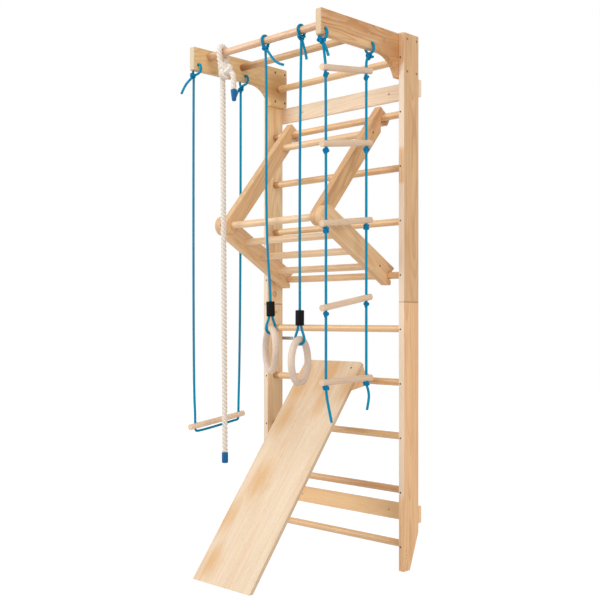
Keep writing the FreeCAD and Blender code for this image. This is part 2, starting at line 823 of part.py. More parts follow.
def unit_bar_rod(label, spot, upper, spare=ZERO):
    """A bar of the unit, or its socket's tool when spare is not zero."""
    outset = S["unit_bar_socket"] + (ZERO if upper else S["unit_board_thickness"])
    return rod(label, S["rung_diameter"] + spare * 2, unit_right_x - unit_left_x + outset * 2 + spare * 2,
               unit_left_x - outset - spare, plain_size(spot[0]), plain_size(spot[1]))


def apex_rod(label, spare=ZERO):
    outset = S["unit_board_thickness"] + S["unit_bar_socket"]
    return rod(label, S["rung_diameter"] + spare * 2, unit_right_x - unit_left_x + outset * 2 + spare * 2,
               unit_left_x - outset - spare, plain_size(apex_y), plain_size(apex_z))


def bar_unit():
    thick = S["unit_board_thickness"]
    spare = S["wood_clearance"]
    for side in (-1, 1):
        side_name = "left" if side < 0 else "right"
        upper_x = unit_left_x - thick if side < 0 else unit_right_x
        lower_x = unit_left_x - thick * 2 if side < 0 else unit_right_x + thick
        upper = board("unit_%s_upper_plain" % side_name, upper_board_outline(), thick, upper_x)
        lower = board("unit_%s_lower_plain" % side_name, lower_board_outline(), thick, lower_x)
        upper_tools = [apex_rod("upper_apex_hole_%s" % side_name, spare)]
        lower_tools = [apex_rod("lower_apex_hole_%s" % side_name, spare)]
        for name, spot, is_upper in unit_bar_places():
            tools = upper_tools if is_upper else lower_tools
            tools.append(unit_bar_rod("%s_socket_%s" % (name, side_name), spot, is_upper, spare))
        keep(drilled("unit_%s_upper_board" % side_name, upper, upper_tools, unit_holes),
             "unit_%s_upper_board" % side_name)
        keep(drilled("unit_%s_lower_board" % side_name, lower, lower_tools, unit_holes),
             "unit_%s_lower_board" % side_name)
    keep(apex_rod("unit_apex_bar"), "unit_apex_bar")
    for name, spot, is_upper in unit_bar_places():
        keep(drilled(name, unit_bar_rod(name + "_dowel", spot, is_upper), [], unit_holes), name)
    keep(unit_screws, "unit_screws")


# Slide

SLIDE_FOOT = (float(front_y - S["slide_foot_reach"]), 0.0)
slide_top_z = rung_z(SLIDE_RUNG) + S["slide_top_rise"]
SLIDE_TOP = (float(front_y - S["slide_top_lead"]), float(slide_top_z))
SLIDE_WAY, SLIDE_UP = lean(SLIDE_FOOT, SLIDE_TOP)
slide_hook_y, slide_hook_z = float(rung_y), float(rung_z(SLIDE_RUNG))


def slide_screw_spots():
    spot = along(SLIDE_TOP, SLIDE_WAY, -float(S["slide_screw_inset"]))
    inward = V(0, -SLIDE_UP[0], -SLIDE_UP[1])
    return [(V(float(S["slide_offset"] + S["slide_hook_spacing"] / 2 * side), spot[0], spot[1]), inward,
             float(S["slide_screw_length"])) for side in (-1, 1)]


slide_screws, slide_holes = screws_and_holes("slide_screw_set", slide_screw_spots())


def slide_hook_outline():
    """A hook block between the slide's underside and the rung."""
    under_top = along(SLIDE_TOP, SLIDE_UP, -float(S["slide_thickness"]))
    centre = (slide_hook_y, slide_hook_z)
    points = {name: shared(SLIDE_HOOK_SHARES, "slide_hook_size", name, centre) for name in SLIDE_HOOK_SHARES}
    return [along(under_top, SLIDE_WAY, -float(S["slide_hook_length"])),
            (slide_hook_y - hook_radius, points["sole"][1]), (slide_hook_y - hook_radius, slide_hook_z),
            ((slide_hook_y, slide_hook_z + hook_radius), (slide_hook_y + hook_radius, slide_hook_z)),
            (slide_hook_y + hook_radius, points["lip"][1]), points["lip"], points["heel"], points["crown"],
            points["step"], points["nose"], along(under_top, SLIDE_WAY, -float(S["slide_hook_top_inset"]))]


def slide():
    under_top = along(SLIDE_TOP, SLIDE_UP, -float(S["slide_thickness"]))
    under_foot = at_height(under_top, SLIDE_WAY, 0.0)
    plain = board("slide_plain", [SLIDE_FOOT, under_foot, under_top, SLIDE_TOP], S["slide_width"],
                  S["slide_offset"] - S["slide_width"] / 2, rounded=False)
    eased = new_object("Part::Fillet", "slide_corners")
    eased.Base = plain
    radius = float(S["slide_corner"])
    names = []
    for index, edge in enumerate(plain.Shape.Edges):
        middle = edge.CenterOfMass
        short = edge.Length < float(S["slide_thickness"]) * 1.1
        if short and middle.z > float(slide_top_z) / 2:
            names.append((index + 1, radius, radius))
    eased.Edges = names
    keep(drilled("slide_board", eased, [], slide_holes), "slide_board")
    for side in (-1, 1):
        name = "slide_hook_%s" % ("left" if side < 0 else "right")
        x = S["slide_offset"] + S["slide_hook_spacing"] / 2 * side - S["slide_hook_thickness"] / 2
        block = board(name + "_plain", slide_hook_outline(), S["slide_hook_thickness"], x, rounded=False)
        keep(drilled(name, block, [], slide_holes), name)
    keep(slide_screws, "slide_screws")


# Cords

def path_of(points, bend=None):
    """Straight runs joined by tangent arcs, as large as 0.45 of the shorter run allows."""
    edges = []
    start = points[0]
    for before, corner, after in zip(points, points[1:], points[2:]):
        first, second = corner - before, after - corner
        turn = first.getAngle(second)
        cut_back = 0.45 * min(first.Length, second.Length)
        radius = cut_back / math.tan(turn / 2)
        if bend:
            radius = bend
            cut_back = bend * math.tan(turn / 2)
        print("arc radius %.1f" % radius)
        enter = corner - first.normalize() * cut_back
        leave = corner + second.normalize() * cut_back
        inward = (enter - corner).normalize() + (leave - corner).normalize()
        centre_distance = radius / math.cos(turn / 2)
        middle = corner + inward.normalize() * (centre_distance - radius)
        edges.append(Part.LineSegment(start, enter).toShape())
        edges.append(Part.Arc(enter, middle, leave).toShape())
        start = leave
    edges.append(Part.LineSegment(start, points[-1]).toShape())
    return Part.Wire(edges)


def swept(path, diameter):
    """A round tube along a wire, its volume compared with its section times its length."""
    radius = float(diameter) / 2
    first = path.OrderedEdges[0]
    direction = first.tangentAt(first.FirstParameter)
    ring = Part.Wire([Part.makeCircle(radius, path.OrderedVertexes[0].Point, direction)])
    solid = path.makePipeShell([ring], True, False)
    expected = math.pi * radius ** 2 * path.Length
    if abs(solid.Volume / expected - 1) > 0.02:
        raise ValueError("a tube's volume is not its section times its length")
    return solid


def tube(points, diameter, bend=None):
    """A round tube along a route of points."""
    return swept(path_of(points, bend), diameter)


def quarter_arc(enter, corner, leave):
    """An arc from enter to leave, tangent to the two equal runs that meet at the corner."""
    inward = (enter + leave) / 2 - corner
    half_turn = math.pi / 2 - (enter - corner).getAngle(leave - corner) / 2
    run = (enter - corner).Length
    radius = run / math.tan(half_turn)
    rise = radius / math.cos(half_turn) - radius
    return Part.Arc(enter, corner + inward.normalize() * rise, leave).toShape()


def biarc(start, start_way, end, end_way):
    """Two arcs that leave the start and reach the end in the given unit directions."""
    between = end - start
    both = start_way + end_way
    square = 2 * (start_way.dot(end_way) - 1)
    if abs(square) < 1e-9:
        reach = between.dot(between) / (2 * between.dot(both))
    else:
        root = math.sqrt(between.dot(both) ** 2 - square * between.dot(between))
        reach = (between.dot(both) - root) / square
    first_corner = start + start_way * reach
    second_corner = end - end_way * reach
    middle = (first_corner + second_corner) / 2
    return [quarter_arc(start, first_corner, middle), quarter_arc(middle, second_corner, end)]


def least_gap(path, diameter):
    """The least gap between parts of a tube that lie more than three diameters apart along it."""
    step = float(diameter) / 4
    points = path.discretize(Distance=step)
    apart = 12
    nearest = min((points[low] - points[high]).Length
                  for low in range(len(points)) for high in range(low + apart, len(points)))
    return nearest - float(diameter)


def shifted(points, base):
    return [V(*point) + base for point in points]


def joined(shapes):
    return shapes[0].multiFuse(shapes[1:]).removeSplitter()


def knot(centre, diameter, pole=V(0, 0, 1)):
    return Part.makeSphere(float(diameter) / 2, centre, pole)


def hanger_loop(knot_at, x, y):
    """A cord loop through an arm's hole and down both its faces to a knot below it."""
    half = float(S["board_thickness"] / 2 + S["hanger_gap"] + cord_radius)
    hole = float(cord_hole_z)
    corners = []
    for mark in (1, -1):
        shift = (knot_at.x - x) * mark
        low = float(arm_under_z) - float(S["cord_diameter"]) * 0.4 + shift * 0.25
        corners.append((V(x + half * mark, y, low), V(x + half * mark, y, hole)))
    gap = float(S["hanger_knot_diameter"]) / 2 + float(S["hanger_gap"])
    ends = [knot_at + (low - knot_at).normalize() * gap for low, high in corners]
    points = [ends[0], corners[0][0], corners[0][1], corners[1][1], corners[1][0], ends[1]]
    return tube(points, S["cord_diameter"], float(S["hanger_bend"]))


def hanger_pair(name, x, knots):
    loops = [hanger_loop(knot_at, x, float(y)) for knot_at, y in zip(knots, (front_hole_y, back_hole_y))]
    keep(feature(name, Part.makeCompound(loops)), name)


arm_middle_x = float(inner_x - S["board_thickness"] / 2)
front_cord_y, back_cord_y = float(front_hole_y), float(back_hole_y)


def cord_holes(spots, diameter, clearance):
    """Upright holes for a cord, through round bars at the given points."""
    radius = float(cord_radius) + float(clearance)
    length = float(diameter) * 3
    return [Part.makeCylinder(radius, length, spot - V(0, 0, length / 2)) for spot in spots]


def trapeze():
    """A bar on one cord, whose two ends are knotted below the left arm."""
    x = -arm_middle_x - float(S["trapeze_outset"])
    level, rise = float(S["trapeze_bar_level"]), float(S["trapeze_bar_rise"])
    middle_y = (front_cord_y + back_cord_y) / 2 - float(S["trapeze_lead"])
    span = float(S["trapeze_cord_spacing"])
    length = float(S["trapeze_bar_length"])
    slope = math.asin(rise / length)
    way = V(0, math.cos(slope), math.sin(slope))
    down = V(0, math.sin(slope), -math.cos(slope))
    centre = V(x, middle_y, level)
    holes_at = [centre + way * (span / 2 * mark) for mark in (-1, 1)]
    start = centre - way * (float(S["trapeze_bar_overhang"]) + span / 2)
    bar = Part.makeCylinder(float(S["trapeze_bar_diameter"]) / 2, length, start, way)
    holes = cord_holes(holes_at, S["trapeze_bar_diameter"], S["trapeze_hole_clearance"])
    bar = bar.cut(Part.makeCompound(holes))
    keep(feature("trapeze_bar", bar), "trapeze_bar")
    knots = [V(x, y, float(hanger_z)) for y in (front_cord_y, back_cord_y)]
    hanger_pair("trapeze_hangers", -arm_middle_x, knots)
    under = float(S["trapeze_bar_diameter"]) / 2 + float(cord_radius) + float(S["trapeze_hole_clearance"])
    unders = [spot - V(0, 0, under / math.cos(slope)) for spot in holes_at]
    route = [knots[0]] + unders + [knots[1]]
    cord = tube(route, S["cord_diameter"], float(S["trapeze_cord_bend"]))
    tails = [tube(shifted(points, knot_at), S["cord_diameter"])
             for points, knot_at in zip((TRAPEZE_FRONT_TAIL, TRAPEZE_BACK_TAIL), knots)]
    shape = joined([cord] + tails + [knot(spot, S["hanger_knot_diameter"]) for spot in knots])
    keep(feature("trapeze_cord", shape), "trapeze_cord")


def cord_point(top, bottom, z):
    """The point of a straight cord at a height."""
    share = (z - top.z) / (bottom.z - top.z)
    return top + (bottom - top) * share


def rope_ladder():
    """Five rungs on two cords, with a knot under each rung."""
    x = arm_middle_x
    tops = [V(x, y, float(hanger_z)) for y in (front_cord_y, back_cord_y)]
    middle_y = (front_cord_y + back_cord_y) / 2
    span = float(S["ladder_cord_spacing"])
    pitch = float(S["ladder_pitch"])
    cord_ys = [middle_y + span / 2 * mark for mark in (-1, 1)]
    levels = []
    for drop, shares in ((S["ladder_front_drop"], FRONT_STEP_SHARES), (S["ladder_back_drop"], BACK_STEP_SHARES)):
        heights = [float(hanger_z) - float(drop)]
        for share in shares:
            heights.append(heights[-1] - share * pitch)
        levels.append(heights)
    rung_radius_here = float(S["ladder_rung_diameter"]) / 2
    knot_radius = float(S["knot_diameter"]) / 2
    rungs = []
    knots = [[], []]
    for front_z, back_z in zip(*levels):
        crossings = [V(x, cord_ys[0], front_z), V(x, cord_ys[1], back_z)]
        way = (crossings[1] - crossings[0]).normalize()
        start = crossings[0] - way * float(S["ladder_front_overhang"])
        rung = Part.makeCylinder(rung_radius_here, float(S["ladder_rung_length"]), start, way)
        holes = cord_holes(crossings, S["ladder_rung_diameter"], S["cord_hole_clearance"])
        rungs.append(rung.cut(Part.makeCompound(holes)))
        for side, crossing in enumerate(crossings):
            fall = (rung_radius_here + knot_radius + float(S["loop_clearance"])) / math.sqrt(1 - way.z ** 2)
            knots[side].append(crossing - V(0, 0, fall))
    keep(feature("ladder_rungs", Part.makeCompound(rungs)), "ladder_rungs")
    hanger_pair("ladder_hangers", x, tops)
    for side, (name, tail) in enumerate((("ladder_front_cord", LADDER_FRONT_TAIL),
                                         ("ladder_back_cord", LADDER_BACK_TAIL))):
        first = V(x, cord_ys[side], levels[side][0] + rung_radius_here * 4)
        run = tube([tops[side], first, knots[side][-1]], S["cord_diameter"])
        shapes = [run, knot(tops[side], S["hanger_knot_diameter"])]
        shapes += [knot(spot, S["knot_diameter"]) for spot in knots[side]]
        shapes.append(tube(shifted(tail, knots[side][-1]), S["cord_diameter"]))
        if side == 0:
            shapes.append(tube(shifted(LADDER_TOP_TAIL, tops[side]), S["cord_diameter"]))
        keep(feature(name, joined(shapes)), name)


def bar_loop(knot_at):
    """A cord from a knot up round the front bar and back down into the knot."""
    radius = float(rung_radius + S["loop_clearance"] + cord_radius)
    axis = V(knot_at.x, knot_at.y, float(front_bar_z))
    drop = (axis - knot_at).Length
    lean_angle = math.asin(radius / drop)
    side, rise = radius * math.cos(lean_angle), -radius * math.sin(lean_angle)
    front, back = axis + V(0, -side, rise), axis + V(0, side, rise)
    sunk = float(S["knot_diameter"]) / 3
    low_front = knot_at + (front - knot_at).normalize() * sunk
    low_back = knot_at + (back - knot_at).normalize() * sunk
    path = Part.Wire([Part.LineSegment(low_front, front).toShape(),
                      Part.Arc(front, axis + V(0, 0, radius), back).toShape(),
                      Part.LineSegment(back, low_back).toShape()])
    return swept(path, S["cord_diameter"])


def ring_hanger(side):
    """A loop, knot and tail on the front bar, a cord, a sleeve and a wooden ring."""
    name = "left_ring" if side < 0 else "right_ring"
    top_x = float(S[name + "_inset"] - arm_inner_x)
    low_x = float(S[name + "_low_inset"] - arm_inner_x)
    level = float(S[name + "_level"])
    y = float(front_bar_y)
    section = float(S["ring_section"]) / 2
    reach = float(S["ring_outer_diameter"]) / 2 - section
    turn = math.radians(float(S[name + "_turn"]))
    across = V(math.cos(turn), math.sin(turn), 0)
    knot_at = V(top_x, y, float(front_bar_z - S["ring_knot_drop"]))
    centre = V(low_x, y, level)
    wood = Part.makeTorus(reach, section, centre, across)
    keep(feature(name + "_wood", wood), name + "_wood")
    hold = centre + V(0, 0, reach)
    sleeve_low = hold + V(0, 0, section + float(S["sleeve_to_ring"]))
    lean_way = (knot_at - sleeve_low).normalize()
    sleeve_top = sleeve_low + lean_way * float(S["sleeve_length"])
    sleeve = Part.makeCylinder(float(S["sleeve_diameter"]) / 2, float(S["sleeve_length"]), sleeve_low, lean_way)
    keep(feature(name + "_sleeve", sleeve), name + "_sleeve")
    radius = section + float(S["loop_clearance"]) + float(cord_radius)
    strand = float(S["sleeve_strand_spacing"]) / 2
    height = sleeve_low.z - hold.z
    distance = math.hypot(strand, height)
    angle = math.atan2(height, strand) - math.acos(radius / distance)
    touch = (radius * math.cos(angle), radius * math.sin(angle))
    starts = [hold + across * (strand * mark) + V(0, 0, height) for mark in (1, -1)]
    touches = [hold + across * (touch[0] * mark) + V(0, 0, touch[1]) for mark in (1, -1)]
    bottom = hold - V(0, 0, radius)
    path = Part.Wire([Part.LineSegment(starts[0], touches[0]).toShape(),
                      Part.Arc(touches[0], bottom, touches[1]).toShape(),
                      Part.LineSegment(touches[1], starts[1]).toShape()])
    circle = Part.Wire([Part.makeCircle(float(cord_radius), starts[0], touches[0] - starts[0])])
    lower_loop = path.makePipeShell([circle], True, False)
    lower_loop = lower_loop.cut(sleeve)
    tail = LEFT_RING_TAIL if side < 0 else RIGHT_RING_TAIL
    upper = joined([Part.makeCylinder(float(cord_radius), (knot_at - sleeve_top).Length, sleeve_top, lean_way),
                    bar_loop(knot_at), knot(knot_at, S["knot_diameter"]),
                    tube(shifted(tail, knot_at), S["cord_diameter"])])
    bar_room = Part.makeCylinder(float(rung_radius + S["loop_clearance"]), float(S["overall_width"]),
                                 V(-float(half_width), y, float(front_bar_z)), V(1, 0, 0))
    upper = upper.cut(bar_room)
    keep(feature(name + "_cord", Part.makeCompound([upper, lower_loop])), name + "_cord")


def hitch_stations(first_x):
    """Quarter-turn points and directions of the rope's turns round the front bar, from its front side."""
    radius = float(rung_radius + S["loop_clearance"] + S["rope_diameter"] / 2)
    pitch = float(S["rope_turn_pitch"])
    quarters = int(float(S["rope_quarter_turns"]))
    stations = []
    for quarter in range(quarters + 1):
        angle = math.pi / 2 * quarter
        place = V(first_x + pitch * quarter / 4, float(front_bar_y) - radius * math.cos(angle),
                  float(front_bar_z) + radius * math.sin(angle))
        way = V(pitch / (2 * math.pi), radius * math.sin(angle), radius * math.cos(angle)).normalize()
        stations.append((place, way))
    return stations


def climbing_rope():
    """One thick rope: up to its knot, round the front bar and down to a short tail, both ends capped."""
    diameter = S["rope_diameter"]
    cap = float(S["cap_length"])
    main_x = -float(S["rope_outset"]) + float(S["rope_main_offset"])
    main_y = float(front_bar_y - S["rope_lead"])
    knot_z = float(front_bar_z - S["rope_knot_drop"])
    end = V(main_x + float(S["rope_drift"]), main_y, float(S["rope_end_level"]) + cap)
    knot_low = V(main_x, main_y, knot_z - float(S["rope_knot_diameter"]) / 2)
    tail_x = main_x + float(S["rope_tail_offset"])
    tail_high = V(tail_x, main_y, knot_z - float(S["rope_knot_diameter"]) * 0.75)
    tail_end = V(tail_x, main_y, float(S["rope_tail_level"]))
    stations = hitch_stations(-float(S["rope_outset"]) - float(S["rope_hitch_reach"]))
    up = (knot_low - end).normalize()
    stations = [(knot_low, up)] + stations + [(tail_high, V(0, 0, -1))]
    edges = [Part.LineSegment(end, knot_low).toShape()]
    for (start, start_way), (stop, stop_way) in zip(stations, stations[1:]):
        edges += biarc(start, start_way, stop, stop_way)
    edges.append(Part.LineSegment(tail_high, tail_end).toShape())
    path = Part.Wire(edges)
    print("rope path %.0f, least gap to itself %.2f" % (path.Length, least_gap(path, diameter)))
    for edge in edges:
        if hasattr(edge.Curve, "Radius"):
            print("rope arc radius %.1f" % edge.Curve.Radius)
    knot_at = V(main_x + float(S["rope_knot_shift"]), main_y + float(S["rope_lead"]) / 2, knot_z)
    ball = knot(knot_at, S["rope_knot_diameter"], V(1, 1, 0) + up / 2)
    plain_rope = swept(path, diameter)
    rope = plain_rope.fuse(ball).removeSplitter()
    if not plain_rope.Volume < rope.Volume < plain_rope.Volume + ball.Volume:
        raise ValueError("the rope and its knot have not joined")
    keep(feature("climbing_rope", rope), "climbing_rope")
    for name, place, way in (("rope_end_cap", end, up * -1), ("rope_tail_cap", tail_end, V(0, 0, -1))):
        keep(feature(name, Part.makeCylinder(float(S["cap_diameter"]) / 2, cap, place, way)), name)


def build():
    for side in (-1, 1):
        for part in ("lower", "upper"):
            upright(side, part)
    joint_dowels()
    wall_rungs()
    wall_planks()
    wall_straps()
    keep(lock_screws, "rung_lock_screws")
    keep(group("back_screws", [plank_screws, strap_screws]), "back_screws")
    keep(bolts, "arm_bolts")
    keep(nuts, "arm_sleeve_nuts")
    arm(-1)
    arm(1)
    arm_bars()
    keep(bar_screws, "bar_screws")
    bar_unit()
    slide()
    trapeze()
    rope_ladder()
    ring_hanger(-1)
    ring_hanger(1)
    climbing_rope()


def write_out():
    """Check every object and each kept shape, write one file per node, and check each file read back."""
    doc.recompute()
    for item in doc.Objects:
        if "Invalid" in item.State or "Error" in item.State:
            raise ValueError("%s could not be built" % item.Label)
    for item in NODES:
        if item.Shape.isNull() or not item.Shape.isValid() or not item.Shape.Solids:
            raise ValueError("%s has no valid solid" % item.Label)
    os.makedirs("parts", exist_ok=True)
    for item in NODES:
        path = "parts/%s.step" % item.Label
        item.Shape.exportStep(path)
        written = Part.read(path)
        if not written.isValid() or abs(written.Volume / item.Shape.Volume - 1) > 0.001:
            raise ValueError("%s isn't the same solid once written" % item.Label)
    print("%d nodes" % len(NODES))


build()
write_out()
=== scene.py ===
"""Wall-hung climbing frame: its woods, cords, knots, rope, light and camera."""
import math

import bmesh
import bpy
import numpy as np
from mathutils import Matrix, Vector


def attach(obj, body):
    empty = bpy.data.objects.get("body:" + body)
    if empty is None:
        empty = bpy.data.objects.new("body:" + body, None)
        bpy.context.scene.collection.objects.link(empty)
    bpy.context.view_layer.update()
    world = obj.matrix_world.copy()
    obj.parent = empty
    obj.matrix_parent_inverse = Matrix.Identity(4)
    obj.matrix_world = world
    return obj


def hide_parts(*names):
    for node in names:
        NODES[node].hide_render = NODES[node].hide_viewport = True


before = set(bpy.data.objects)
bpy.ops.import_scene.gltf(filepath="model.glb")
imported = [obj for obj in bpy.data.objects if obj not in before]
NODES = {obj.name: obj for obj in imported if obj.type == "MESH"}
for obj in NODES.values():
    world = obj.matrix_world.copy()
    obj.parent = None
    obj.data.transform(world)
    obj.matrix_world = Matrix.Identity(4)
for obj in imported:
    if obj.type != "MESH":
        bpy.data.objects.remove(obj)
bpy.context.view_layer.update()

MM = 0.001

# Outputs of the texture coordinate node, and the colour sockets of the mix node
UV_PLACE, OBJECT_PLACE = 2, 3
MIX_SHARE, MIX_FIRST, MIX_SECOND, MIX_RESULT = 0, 6, 7, 2


def metres(values):
    """Millimetres to metres, one by one."""
    return [value * MM for value in values]


# Shader nodes

class Wire:
    """A socket of one finish, so that shader maths reads as plain arithmetic."""

    def __init__(self, socket, finish):
        self.socket = socket
        self.finish = finish

    def __add__(self, other):
        return self.finish.maths("ADD", self, other)

    def __sub__(self, other):
        return self.finish.maths("SUBTRACT", self, other)

    def __rsub__(self, other):
        return self.finish.maths("SUBTRACT", other, self)

    def __mul__(self, other):
        return self.finish.maths("MULTIPLY", self, other)

    def __truediv__(self, other):
        return self.finish.maths("DIVIDE", self, other)

    __radd__ = __add__
    __rmul__ = __mul__


class Finish:
    """The nodes of a new material or world, all added by one method."""

    def __init__(self, owner):
        self.owner = owner
        owner.use_nodes = True
        self.tree = owner.node_tree
        self.tree.nodes.clear()

    def add(self, kind, settings=None, sockets=None, output=0):
        """One node: its settings first, then the values or links of its sockets; gives one output."""
        node = self.tree.nodes.new(kind)
        for key, value in (settings or {}).items():
            setattr(node, key, value)
        for key, value in (sockets or {}).items():
            if isinstance(value, Wire):
                self.tree.links.new(value.socket, node.inputs[key])
            else:
                node.inputs[key].default_value = value
        return Wire(node.outputs[output], self)

    def object_place(self):
        """The point in its object's own space, in metres."""
        return self.add("ShaderNodeTexCoord", output=OBJECT_PLACE)

    def spread(self):
        """The piece's own uv: the share of a turn round it, and the metres along it."""
        return self.split(self.add("ShaderNodeTexCoord", output=UV_PLACE))[:2]

    def maths(self, operation, *values):
        return self.add("ShaderNodeMath", {"operation": operation}, dict(enumerate(values)))

    def size(self, value):
        return self.maths("ABSOLUTE", value)

    def fraction(self, value):
        return self.maths("FRACT", value)

    def sine(self, value):
        return self.maths("SINE", value)

    def power(self, value, exponent):
        return self.maths("POWER", value, exponent)

    def ease(self, value, start, end):
        """0 before start, 1 after end, smooth between them."""
        sockets = dict(enumerate((value, start, end, 0.0, 1.0)))
        return self.add("ShaderNodeMapRange", {"interpolation_type": "SMOOTHSTEP"}, sockets)

    def vector(self, operation, *values, output=0):
        return self.add("ShaderNodeVectorMath", {"operation": operation}, dict(enumerate(values)), output)

    def split(self, value):
        node = self.add("ShaderNodeSeparateXYZ", {}, {0: value}).socket.node
        return [Wire(socket, self) for socket in node.outputs]

    def join(self, x, y, z):
        return self.add("ShaderNodeCombineXYZ", {}, {0: x, 1: y, 2: z})

    def noise(self, place, detail=2.0, roughness=0.5):
        """Soft noise about 0.5 on a place that is already scaled."""
        sockets = {"Vector": place, "Scale": 1.0, "Detail": detail, "Roughness": roughness}
        return self.add("ShaderNodeTexNoise", {}, sockets)

    def blend(self, share, first, second):
        """A colour between two colours."""
        sockets = {MIX_SHARE: share, MIX_FIRST: first, MIX_SECOND: second}
        return self.add("ShaderNodeMix", {"data_type": "RGBA"}, sockets, MIX_RESULT)

    def bump(self, height, distance, strength):
        return self.add("ShaderNodeBump", {}, {"Height": height, "Distance": distance, "Strength": strength})

    def surface(self, colour, roughness, normal, **uniform):
        """The material itself; what is the same all over is set on the shader's own sockets."""
        sockets = {"Base Color": colour, "Roughness": roughness, "Normal": normal}
        sockets.update({key.replace("_", " ").title().replace("Ior", "IOR"): value
                        for key, value in uniform.items()})
        return self.end(self.add("ShaderNodeBsdfPrincipled", {}, sockets))

    def end(self, shader, kind="ShaderNodeOutputMaterial"):
        """Links the shader to the output, and gives what the nodes belong to."""
        output = self.tree.nodes.new(kind)
        self.tree.links.new(shader.socket, output.inputs["Surface"])
        return self.owner


def new_finish(name):
    return Finish(bpy.data.materials.new(name))


def linear(red, green, blue):
    """A colour written as it looks, 0 to 255, as the shader takes it."""
    shares = np.array([red, green, blue]) / 255
    curved = np.where(shares <= 0.04045, shares / 12.92, ((shares + 0.055) / 1.055) ** 2.4)
    return tuple(curved) + (1.0,)


def dress(material, *names):
    for name in names:
        for slot in NODES[name].material_slots:
            slot.material = material


# Woods

# How far waves shift the growth rings, for a wander of 1
SLOW_WAVE = 50 * MM
MIDDLE_WAVE = 7 * MM

# Shares of a ring over which its late wood darkens and ends
LATE_RISE, LATE_FALL = (0.15, 0.86), (0.9, 1.0)

# Values of each noise between which its effect comes in, and how strong the effect is
STREAKS, STREAK_AMOUNT = (0.4, 0.72), 0.26
WARMTH = (0.48, 0.78)
FIBRES, FIBRE_AMOUNT = (0.45, 0.85), 0.25
TONES, TONE_AMOUNT = (0.35, 0.75), 0.4
MARKS = (0.63, 0.72)

GRAIN_DEPTH = 0.6 * MM
GRAIN_BUMP = 0.2
COAT_ROUGHNESS = 0.25
PLY_LAYER = 3 * MM

KNOT_BROWN = (140, 76, 24)
SEAM_GREY = (132, 106, 80)
PLY_BROWN = (168, 128, 84)


def knot_rings(f, place, middle, distance, knots):
    """Small rings about each knot's centre: the distance as they bend it, and how dark each point is.

    Every length is a share of the knot's radius.
    """
    mask = None
    for centre, radius in knots:
        size = radius * MM
        away = f.vector("DISTANCE", place, metres(centre), output=1) + (middle - 0.5) * (0.5 * size)
        near = 1 - f.ease(away, 0.3 * size, 3.6 * size)
        distance = distance + near * (1.5 * size)
        core = 1 - f.ease(away, 0.8 * size, 1.05 * size)
        rim = f.ease(away, 0.55 * size, 0.95 * size) * core
        rings = f.fraction(away / (0.2 * size))
        shade = core * (0.3 + rings * 0.12) + rim * 0.3
        mask = f.maths("MAXIMUM", mask, shade) if mask else shade
    return distance, mask


def blushed(f, place, middle, colour, deep, blush):
    """Soft warm patches of (centre, reach, amount), twice as long as wide."""
    for centre, reach, amount in blush:
        apart = f.vector("MULTIPLY", f.vector("SUBTRACT", place, metres(centre)), (2.0, 1.0, 1.0))
        apart = f.vector("LENGTH", apart, output=1) + (middle - 0.5) * (0.9 * reach * MM)
        share = (1 - f.ease(apart, 0.1 * reach * MM, reach * MM)) * amount
        colour = f.blend(share, colour, linear(*deep))
    return colour


def ply_edges(f, across, thickness, colour, ply):
    """Layers that show beyond a half width from a middle."""
    middle, half = ply
    layer = f.ease(f.maths("PINGPONG", thickness / PLY_LAYER, 1.0), 0.5, 0.75)
    side = f.ease(f.size(across - middle * MM), (half - 0.6) * MM, (half - 0.3) * MM)
    return f.blend(side * (0.1 + layer * 0.4), colour, linear(*PLY_BROWN))


def painted_front_glare(f, across, depth_of, height_of, colour, edge):
    """Painted highlight: a paler skin in front of a depth along Y, for the glare on faces towards the front,
    left off between pairs of heights.

    The lower height of a gap holds at x = slope_x, and rises from there with a slope towards +X.
    """
    depth, amount, skin, gaps = edge
    # The last of these is the share of the painted highlight that a gap leaves off.
    fade, low_blur, high_blur, slope_x, wear_and_shade = 2, 9, 14, 387, 0.85
    cover = (1 - f.ease(depth_of, depth * MM, (depth + fade) * MM)) * amount
    for low, high, slope in gaps:
        level = height_of - (across - slope_x * MM) * slope
        bare = f.ease(level, (low - low_blur) * MM, (low + low_blur) * MM)
        below = 1 - f.ease(height_of, (high - high_blur) * MM, (high + high_blur) * MM)
        cover = cover * (1 - bare * below * wear_and_shade)
    return f.blend(cover, colour, linear(*skin))


def painted_end_shade(f, across, colour, end_shade):
    """Painted shade that darkens from start to end away from x = 0, to both sides or to the left alone, near
    the ends of bars and rungs.
    """
    start, end, amount, brown, left_only = end_shade
    out = across * -1 if left_only else f.size(across)
    return f.blend(f.ease(out, start * MM, end * MM) * amount, colour, linear(*brown))


